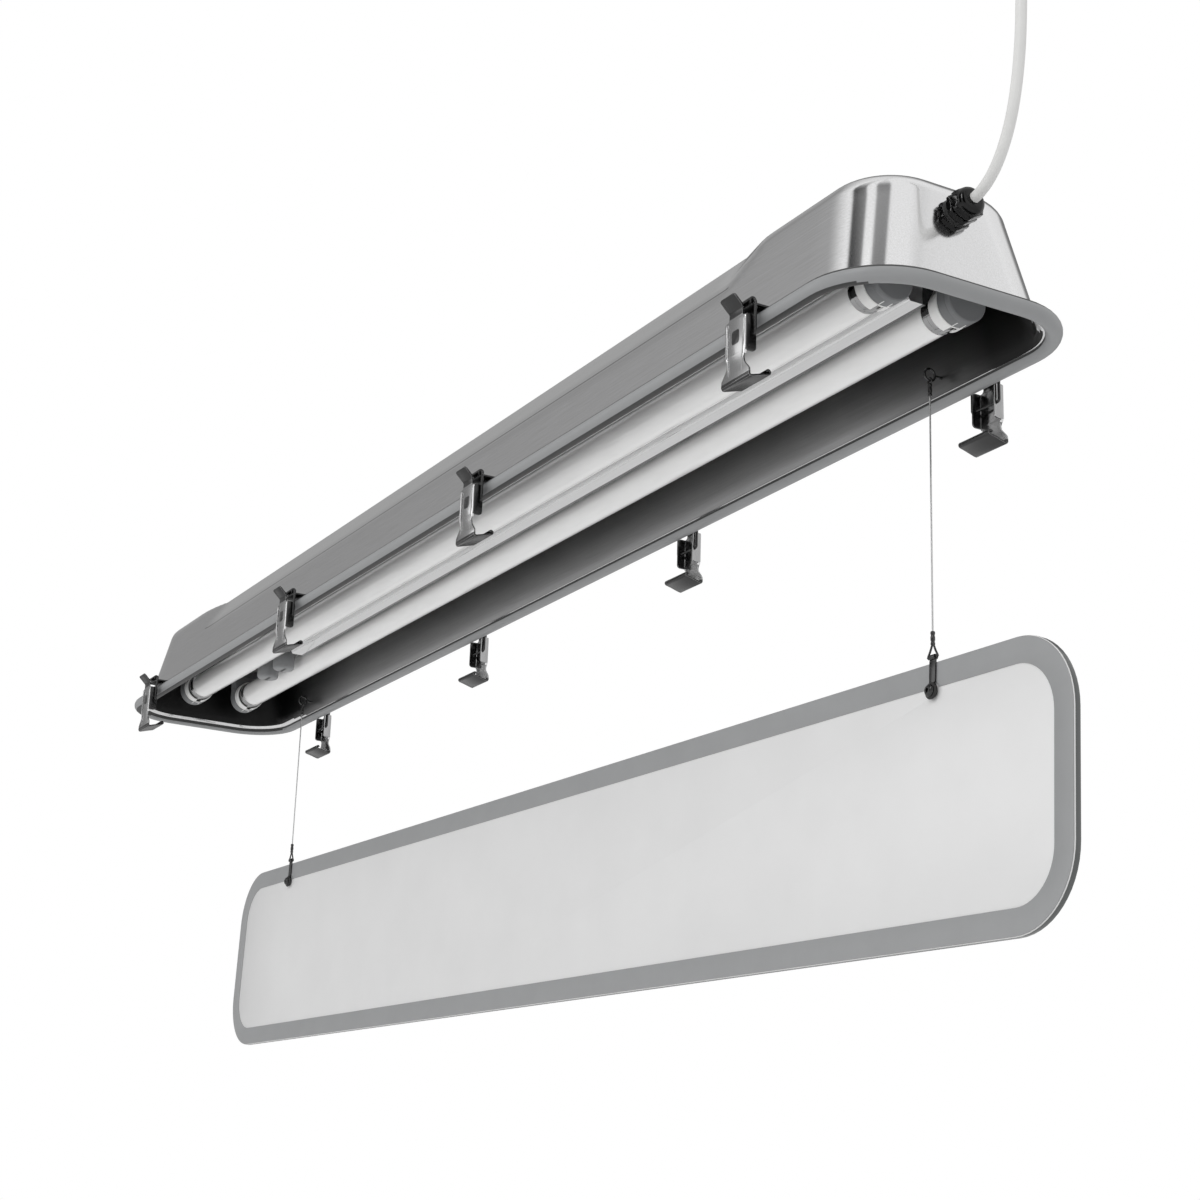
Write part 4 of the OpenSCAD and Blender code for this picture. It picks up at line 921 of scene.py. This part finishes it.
def make_starters():
    b = Build()
    for x in STARTER_X:
        lathe(b, [(0, 13.9), (-1.6, 13.9), (-2.4, 13.0), (-8.0, 12.4), (-9.0, 11.6), (-9.0, 8.0), (-4.4, 7.85),
                  (-4.4, 2.0)], 48, 0, "z", (x, 0, TRAY_Z), False)
        for k in (-1, 1):
            box(b, (x + k * 12.4 - 1.5, -3, TRAY_Z - 6.5), (x + k * 12.4 + 1.5, 3, TRAY_Z - 0.1))
    b.object("starter_socket_cups", [WHITE], "housing", "starter_sockets", "white_plastic", 30.0, 0.2)
    z, r, l = TRAY_Z - 9.3, STARTER_R, -STARTER_L
    prof = [(4.0, 2.0), (4.0, 7.45), (0.0, 7.45), (0.0, r - 1.0), (-0.6, r - 0.35), (-1.4, r), (-3.2, r),
            (-3.6, r - 0.25), (-4.4, r - 0.25), (-4.8, r - 0.05), (-20.5, r - 0.05), (-22.6, r - 0.5),
            (-23.6, r - 1.5), (l, r - 3.0), (l, 2.0)]
    for name, x in zip(("starter_near", "starter_far"), STARTER_X):
        b = Build()
        lathe(b, prof, 48, 0, "z", (x, 0, z), False)
        # the bar across the foot that a finger turns it by
        box(b, (x - 7.2, -1.1, z + l), (x + 7.2, 1.1, z - 22.4))
        b.object(name + "_can", [STARTER], name, name, "starter", 30.0, 0.2)


make_starters()


# the cable gland, square to the leaning end wall
def hex_rings(b, af, profile, bore, mat=0, place=None, sides=72):
    """Hexagonal bar with a round bore, along X. Each (s, limit) row keeps the corners within that radius."""
    rings = []
    for s, lim in profile:
        ring = []
        for k in range(sides):
            a = 2 * pi * k / sides
            r = min(af / 2 / cos(a % (pi / 3) - pi / 6), lim)
            ring.append((s, r * sin(a), r * cos(a)))
        rings.append(ring)
    for s in (profile[-1][0], profile[0][0]):
        rings.append([(s, bore * sin(2 * pi * k / sides), bore * cos(2 * pi * k / sides)) for k in range(sides)])
    loft(b, rings, mat, False, place, True)


def thread(s, end, pitch, *points):
    """Repeats (along, radius) points, a pitch apart."""
    out = []
    while (end - s) * pitch > 0:
        out += [(s + d, r) for d, r in points]
        s += pitch
    return out


def make_gland():
    b = Build()
    hex_rings(b, 20, [(1.5, 9.7), (1.9, 10.4), (2.6, 11.8), (5.1, 11.8), (5.6, 10.7), (6.0, 9.9)], 5.6, 0, on_gland)
    tail = [(-7.5, 7.2)] + thread(-7.0, 1.2, 1.0, (0, 8.0), (0.35, 7.95), (0.75, 7.35))
    lathe(b, tail + [(1.6, 7.6), (1.6, 5.6), (-7.5, 5.6)], place=on_gland)
    neck = [(5.9, 7.2)] + thread(6.2, 11.4, 0.8, (0, 7.48), (0.3, 7.45), (0.6, 6.9))
    lathe(b, neck + [(12.0, 6.9), (12.0, 5.6), (5.9, 5.6)], place=on_gland)
    b.object("gland_base", [GLAND_DARK_REFLECTION], "housing", "gland_body", "gland_metal", 30.0)
    b = Build()
    prof = [(6.4, 9.8), (6.9, 10.6), (7.5, 11.8), (10.9, 11.8), (11.5, 10.6), (11.9, 9.75)]
    prof += [(11.9 + 4.5 * sind(a), 5.5 + 4.2 * cosd(a)) for a in range(8, 91, 9)]
    hex_rings(b, 20, prof, 3.62, 0, on_gland)
    b.object("gland_nut", [GLAND_DARK_REFLECTION], "housing", "gland_dome_nut", "gland_metal", 30.0)


make_gland()


# safety clips: a wire bail in a rolled eye on the wall, and a sheet-metal lever with a tab, channel and hook
def cad_x(node):
    lo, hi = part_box(node)
    return (lo.x + hi.x) / 2 / MM


CLIPS = [(side, sign, i, cad_x(f"clip_bail_{side}_{i}"))
         for side, sign in (("left", -1), ("right", 1)) for i in range(1, 5)]
BAIL_Z, LEVER_Z, CLIP_Y = -74.8, -97.8, 94.5


def clip_at(sign, cx, z0):
    """Places a point drawn about a clip's pivot."""
    return lambda p: (cx + p[0], sign * (CLIP_Y + p[1]), z0 + p[2])


def strip(b, rows, thick, mats, place):
    """Sheet-metal strip: rows of (y, z, half width) along its length, bent in Y and Z, each run with a material."""
    mid = [(r[0], r[1]) for r in rows]
    a, c = offset(mid, thick / 2), offset(mid, -thick / 2)
    rings = [[(-r[2], p[0], p[1]), (r[2], p[0], p[1]), (r[2], q[0], q[1]), (-r[2], q[0], q[1])]
             for r, p, q in zip(rows, a, c)]
    base = len(b.f)
    loft(b, rings, 0, True, place)
    for i, m in enumerate(mats):
        for k in range(4):
            b.m[base + i * 4 + k] = m


WEB_Y = 4.8


def lever_rows():
    """From the rolled lip round the hook, up the shin and web to the tip of the tab, and where the tab begins."""
    lip = [(y, z, 15.3) for y, z in arc(-8.8, -24.0, 1.4, 10, 270, 13)]
    floor = [(-5.0, -26.3, 15.5), (0.0, -27.8, 15.5), (2.8, -28.6, 15.5), (4.1, -28.7, 15.4), (WEB_Y, -27.8, 15.3)]
    shin = [(-26.0, 15.3), (-24.0, 15.0), (-22.0, 13.4), (-19.8, 11.2), (-17.5, 9.4), (-15.0, 8.8), (-11.6, 8.8),
            (-11.0, 9.4), (-10.4, 10.6), (-9.6, 11.4)]
    web = [(0.0, 11.4), (11.8, 11.4), (12.7, 10.6), (13.2, 8.2), (14.4, 7.2), (17.4, 7.0)]
    tab = [(4.95, 18.4, 7.2), (5.5, 19.6, 7.7), (6.5, 20.7, 8.0), (11.0, 25.2, 8.0), (11.6, 25.8, 7.4),
           (12.0, 26.2, 5.8)]
    rows = lip + floor + [(WEB_Y, z, w) for z, w in shin + web]
    return rows + tab, len(rows) - 2


def make_clips():
    b = Build()
    for side, sign, i, cx in CLIPS:
        place = clip_at(sign, cx, BAIL_Z)
        eye = [(1.85 * sind(a), -1.85 * cosd(a)) for a in range(0, 301, 20)]
        ribbon(b, [(y, -1.85) for y in (-18.9, -12.0, -6.0, -2.5)] + eye, 1.4, -11.0, 11.0, 0, place, 2)
        # gussets pressed up from the tongue against the wall
        for k in (-1, 1):
            rib = [(-18.6, -1.2), (-8.0, -1.2), (-9.5, -0.5), (-18.6, 1.6)]
            prism(b, rib, k * 6.5 - 0.6, k * 6.5 + 0.6, "yz", 0, place)
    # the tongues and gussets are all in painted shade
    b.object("clip_anchor_tongues", [CLIP_SHADE], "housing", "clip_anchors", "clip_steel", 30.0, 0.12)

    # the bail's lower corners are tighter, so the wire is straight where it runs through the lever
    hx, drop, high, low = 13.5, 23, 2.6, 1.5
    loop = [(x, 0.0, z) for x, z in
            arc(hx - high, -high, high, 90, 0, 6) + arc(hx - low, -drop + low, low, 0, -90, 6)
            + arc(-hx + low, -drop + low, low, -90, -180, 6) + arc(-hx + high, -high, high, 180, 90, 6)]
    edge = ([(5.3, -10.6), (5.3, 12.6), (4.6, 13.0)] + arc(0.4, 10.4, 2.6, 90, 180, 5)
            + arc(0.4, -8.4, 2.6, 180, 270, 5) + [(4.6, -11.0)])
    rows, split = lever_rows()
    hook = 19
    # the hook and the tab are in painted shade, the shin and web in the clip steel
    mats = [1] * hook + [0] * (split - hook) + [1] * (len(rows) - 1 - split)
    for side, sign, i, cx in CLIPS:
        b = Build()
        # the bail wire is all in painted shade
        tube(b, loop, 2.0, 16, 0, True, place=clip_at(sign, cx, BAIL_Z))
        b.object(f"bail_wire_{side}_{i}", [CLIP_SHADE], f"bail_{side}_{i}", f"clip_bail_{side}_{i}", "clip_steel",
                 50.0)
        b = Build()
        place = clip_at(sign, cx, LEVER_Z)
        strip(b, rows, 1.2, mats, place)
        # two ribs pressed out along the shin and web, the web's bent edges in painted highlight, and a plate in
        # painted shade where the slot between them shows
        for k in (-1, 1):
            tube(b, [(k * 7.2, 5.2, -23.0), (k * 7.4, 5.4, -19.0), (k * 8.2, 5.5, -12.0), (k * 8.8, 5.5, -4.0),
                     (k * 8.8, 5.45, 8.0), (k * 8.6, 5.2, 11.6)], 1.0, 10, place=place)
            tube(b, [(k * 9.4, 4.8, -12.6), (k * 10.4, 4.75, -10.2), (k * 10.4, 4.7, 0.0), (k * 10.4, 4.7, 10.6),
                     (k * 10.0, 4.7, 12.3)], 2.1 if k > 0 else 1.6, 12, 2, place=place)
        prism(b, [(6.9, -17.0), (8.4, -15.5), (10.9, -10.2), (11.2, -9.4), (11.2, 11.0), (7.6, 11.0), (7.4, -9.0)],
              5.42, 5.56, "xz", 2, place)
        prism(b, round_rect(4.2, 4.6, 2.0, 5), 5.3, 5.46, "xz", 1, lambda p: place((p[0], p[1], p[2] + 1.0)))
        for k in (-1, 1):
            # the flanges are in painted shade, but for the right clips' flange towards +X, which keeps the clip steel
            flange_with_bore(b, edge, k * 10.3, k * 11.5, 1.12, 0 if side == "right" and k > 0 else 1, place)
        b.object(f"lever_plate_{side}_{i}", [CLIP, CLIP_SHADE, CLIP_HIGHLIGHT], f"lever_{side}_{i}",
                 f"clip_lever_{side}_{i}", "clip_steel", 30.0, 0.12)


def flange_with_bore(b, edge, x0, x1, bore, mat, place):
    """A plate across X with a round hole about the pivot."""
    pts = []
    n = len(edge)
    for i in range(n):
        p, q = Vector(edge[i]), Vector(edge[(i + 1) % n])
        cuts = max(1, int((q - p).length / 2.0))
        pts += [p + (q - p) * j / cuts for j in range(cuts)]
    hole = [Vector((bore * cos(atan2(p.y, p.x)), bore * sin(atan2(p.y, p.x)))) for p in pts]
    rings = [[(x, p.x, p.y) for p in line] for x, line in ((x0, hole), (x0, pts), (x1, pts), (x1, hole))]
    loft(b, rings, mat, False, place, True)


make_clips()

# the two eyes that the safety wires hang from
def make_wire_eyes():
    b = Build()
    for x in WIRE_X:
        tube(b, [(x, p, q) for p, q in arc(WIRE_Y, EYE_Z, 4.2, 0, 348, 29)], 1.6, 14, 0, True)
        tube(b, [(x, WIRE_Y + y, EYE_Z) for y in (4.3, 8.5, 9.9)], 1.6, 14, radii=[0.8, 0.85, 1.1])
    b.object("wire_eye_rings", [DARK_STEEL_AND_SHADE], "housing", "wire_eyes", "plain_steel", 40.0)


make_wire_eyes()


# the hanging cover, drawn in its own frame about the wires' lower ends
def on_cover(p):
    y, z = p[1] * cos(COVER_TILT) + p[2] * sin(COVER_TILT), -p[1] * sin(COVER_TILT) + p[2] * cos(COVER_TILT)
    return (p[0] * cos(COVER_ROLL) + z * sin(COVER_ROLL), WIRE_Y + y,
            COVER_Z - p[0] * sin(COVER_ROLL) + z * cos(COVER_ROLL))


GLASS_TOP, GLASS_W, GLASS_L, GLASS_R = -2.9, 180.0, 1318.0, 51.0
GLASS_Y0, GLASS_Y1 = 1.2, 6.2
BOLT_Z = -21.9


def cover_rings(rows):
    """The cover's outline, once for each row of place across it and distance inside its edge."""
    mid = GLASS_TOP - GLASS_W / 2
    return [[(x, y, mid + z) for x, z in round_rect(GLASS_L / 2 - e, GLASS_W / 2 - e, GLASS_R - e, 14, 24)]
            for y, e in rows]


def bolt_cutters(radius, y0, y1):
    return [drill(radius, y0, y1, 36, axis="y", at=(x, 0, BOLT_Z), place=on_cover) for x in WIRE_X]


def make_cover():
    b = Build()
    e = 0.7
    rings = cover_rings([(GLASS_Y0, e), (GLASS_Y0 + e * 0.3, e * 0.3), (GLASS_Y0 + e, 0.0),
                         (GLASS_Y1 - e, 0.0), (GLASS_Y1 - e * 0.3, e * 0.3), (GLASS_Y1, e)])
    loft(b, rings, place=on_cover)
    # the ground edge all round is darker than the faces
    around = len(rings[0])
    b.m[2 * around:5 * around] = [1] * (3 * around)
    b.object("cover_pane", [COVER_GLASS, COVER_EDGE], "cover", "cover_glass", "cover_glass", 30.0,
             cutters=bolt_cutters(3.0, 0.0, 8.0))
    b = Build()
    rings = cover_rings([(1.18, 0.45), (0.8, 0.5), (0.7, 0.65), (0.7, 16.7), (0.82, 16.95), (1.18, 17.0)])
    loft(b, rings, 0, False, on_cover, True)
    b.object("cover_border", [COVER_BAND], "cover", "cover_band", "cover_band", 30.0,
             cutters=bolt_cutters(5.8, -1.0, 1.6))


make_cover()


def on_hanger(x, z=0.0):
    """Places a point drawn about one hanger, z mm up the cover."""
    return lambda p: on_cover((x + p[0], p[1], z + p[2]))


def make_hangers():
    straps, washers, bolts, nuts = Build(), Build(), Build(), Build()
    # low domed head with a hexagon socket
    dome = [(-2.02, 1.99), (-2.02, 3.7), (-2.2, 3.95), (-2.6, 4.0), (-3.4, 3.75), (-4.1, 3.1), (-4.5, 2.3),
            (-4.6, 1.7), (-4.45, 1.5), (-3.0, 1.45), (-2.8, 0.6)]
    shank = [(12.3, 0.6), (12.3, 1.6), (12.0, 1.95)] + thread(11.9, 7.0, -0.56, (0, 1.98), (-0.28, 1.7))
    shank.append((6.5, 1.98))
    for x in WIRE_X:
        # strap with a round foot under the bolt and a rolled eye on the stirrup's pin
        place = on_hanger(x)
        edge = arc(0, BOLT_Z, 4.5, 228, 492, 24) + [(3.0, -16.0), (3.0, -2.2), (-3.0, -2.2), (-3.0, -16.0)]
        prism(straps, edge, -0.5, 0.7, "xz", 0, place)
        eye = [(1.35 * sind(a), -1.35 * cosd(a)) for a in range(10, 331, 20)]
        ribbon(straps, [(0.1, -2.3)] + eye, 1.1, -3.0, 3.0, 0, place)

        place = on_hanger(x, BOLT_Z)
        for prof in ([(-0.55, 2.2), (-0.55, 4.9), (-0.8, 5.4), (-1.3, 5.5), (-1.8, 5.2), (-2.0, 4.7), (-2.0, 2.2)],
                     [(0.75, 2.15), (0.75, 2.9), (6.25, 2.9), (6.25, 5.2), (6.5, 5.5), (7.3, 5.5), (7.6, 5.2),
                      (7.6, 2.15)]):
            lathe(washers, prof, 48, 0, "y", place=place)
        lathe(bolts, shank + dome, 36, 0, "y", closed_profile=False, place=place)
        hex_rings(nuts, 7, [(7.7, 3.4), (8.0, 4.05), (10.6, 4.05), (10.9, 3.4)], 2.06, 0,
                  lambda p: place((p[2], p[0], p[1])), 48)
    straps.object("cover_hanger_straps", [DARK_STEEL_AND_SHADE], "cover", "cover_hangers", "plain_steel", 30.0, 0.15)
    washers.object("cover_seal_washers", [RUBBER], "cover", "cover_washers", "rubber", 30.0)
    bolts.object("cover_dome_bolts", [DARK_STEEL_AND_SHADE], "cover", "cover_bolts", "plain_steel", 30.0)
    nuts.object("cover_hex_nuts", [PLAIN], "cover", "cover_nuts", "plain_steel", 30.0)


make_hangers()

# fasteners and gear that stay as the source draws them, each with its own finish
FINISH = {"mount_nuts": PLAIN, "tray_studs": PLAIN, "tray_nuts": PLAIN, "ballast_near": BALLAST,
          "ballast_far": BALLAST, "capacitor": CAPACITOR, "terminal_block": TERMINAL, "gear_wiring": CORE,
          "supply_tail": SHEATH, "gland_washer": RUBBER, "gland_insert": RUBBER, "gland_locknut": GLAND_DARK_REFLECTION}
for _name, _mat in FINISH.items():
    _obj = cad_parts[_name]
    _obj.data.materials.clear()
    _obj.data.materials.append(_mat)


# floor, background and light
def studio_mix(nt):
    """One for rays that see the background itself: the camera's, glossy ones and clear ones."""
    rays = node(nt, "LightPath").outputs
    seen = math_node(nt, "MAXIMUM", rays["Is Camera Ray"], rays["Is Transmission Ray"])
    return math_node(nt, "MAXIMUM", seen, rays["Is Glossy Ray"]), rays["Is Glossy Ray"]


# brightness of the studio's white walls and its darker screens, by compass angle in degrees from +X
SCREENS = [(-180, 0.36), (-168, 0.32), (-150, 0.45), (-143, 0.56), (-130, 0.82), (-118, 1.0), (-112, 0.95),
           (-108, 0.04), (-83, 0.04), (-79, 1.0), (-62, 1.0), (-58, 0.05), (-32, 0.05), (-28, 1.0), (12, 1.0),
           (34, 0.82), (48, 0.92), (62, 1.0), (98, 0.9), (112, 0.22), (150, 0.18), (160, 0.43), (180, 0.36)]
# how white the walls turn with height, from straight down to straight up
WHITER = [(0.0, 1.0), (0.28, 1.0), (0.42, 0.0), (0.89, 0.0), (0.98, 0.8), (1.0, 0.8)]


def studio_walls(nt):
    """What glossy metal sees round the light: screens by compass angle, white above and below."""
    tc = node(nt, "TexCoord")
    sep = node(nt, "SeparateXYZ")
    nt.links.new(tc.outputs["Generated"], sep.inputs[0])
    x, y, z = sep.outputs
    part = math_node(nt, "MULTIPLY_ADD", math_node(nt, "ARCTAN2", y, x), 1 / (2 * pi), 0.5)
    walls = ramp(nt, part, [((a + 180) / 360, v) for a, v in SCREENS])
    level = ramp(nt, math_node(nt, "MULTIPLY_ADD", z, 0.5, 0.5), WHITER)
    return mix_colour(nt, level, walls, (1, 1, 1, 1))


def mix_shader(nt, fac, a, b):
    n = node(nt, "MixShader")
    for value, socket in zip((fac, a.outputs[0], b.outputs[0]), n.inputs):
        nt.links.new(value, socket)
    return n


def make_world():
    world = bpy.data.worlds.new("studio")
    bpy.context.scene.world = world
    world.use_nodes = True
    nt = world.node_tree
    nt.nodes.clear()
    out = node(nt, "OutputWorld")
    seen, glossy = studio_mix(nt)
    plain, white, walls = (node(nt, "Background") for _ in range(3))
    for bg, power in ((plain, 0.84), (white, 1.0), (walls, 1.0)):
        bg.inputs["Color"].default_value = (1, 1, 1, 1)
        bg.inputs["Strength"].default_value = power
    nt.links.new(studio_walls(nt), walls.inputs["Color"])
    sky = mix_shader(nt, seen, plain, mix_shader(nt, glossy, white, walls))
    nt.links.new(sky.outputs[0], out.inputs[0])


def make_floor():
    n = 48
    size, z = 9000.0, -1150.0
    verts = [(-size + 2 * size * i / n, -size + 2 * size * k / n, z) for k in range(n + 1) for i in range(n + 1)]
    m, nt, bs = principled("floor_paint", (0.86, 0.86, 0.86), 0.7)
    drive(nt, bs, noise(nt, 3.0), [(0.3, 0.85), (0.7, 0.87)])
    # seen from below, the floor lets the camera look through at the object
    out = next(x for x in nt.nodes if x.type == "OUTPUT_MATERIAL")
    back = node(nt, "NewGeometry").outputs["Backfacing"]
    camera = node(nt, "LightPath").outputs["Is Camera Ray"]
    look_through = math_node(nt, "MULTIPLY", back, camera)
    mix = mix_shader(nt, look_through, bs, node(nt, "BsdfTransparent"))
    nt.links.new(mix.outputs[0], out.inputs["Surface"])
    new_object("floor", verts, grid_faces(n + 1, n + 1, False), [m])


def area_light(name, at, look, size, power):
    data = bpy.data.lights.new(name, "AREA")
    data.shape = "RECTANGLE"
    data.size, data.size_y = size
    data.energy = power
    obj = bpy.data.objects.new(name, data)
    d = Vector(look) - Vector(at)
    obj.rotation_euler = d.to_track_quat("-Z", "Y").to_euler()
    obj.location = at
    bpy.context.scene.collection.objects.link(obj)


make_world()
make_floor()
area_light("key", (1.85, -3.0, 2.3), (0.1, 0, -0.15), (0.8, 2.0), 30.0)
area_light("fill", (-1.5, -3.0, 0.6), (0, 0, -0.15), (2.5, 1.5), 12.0)

bpy.context.scene.view_settings.view_transform = "Standard"
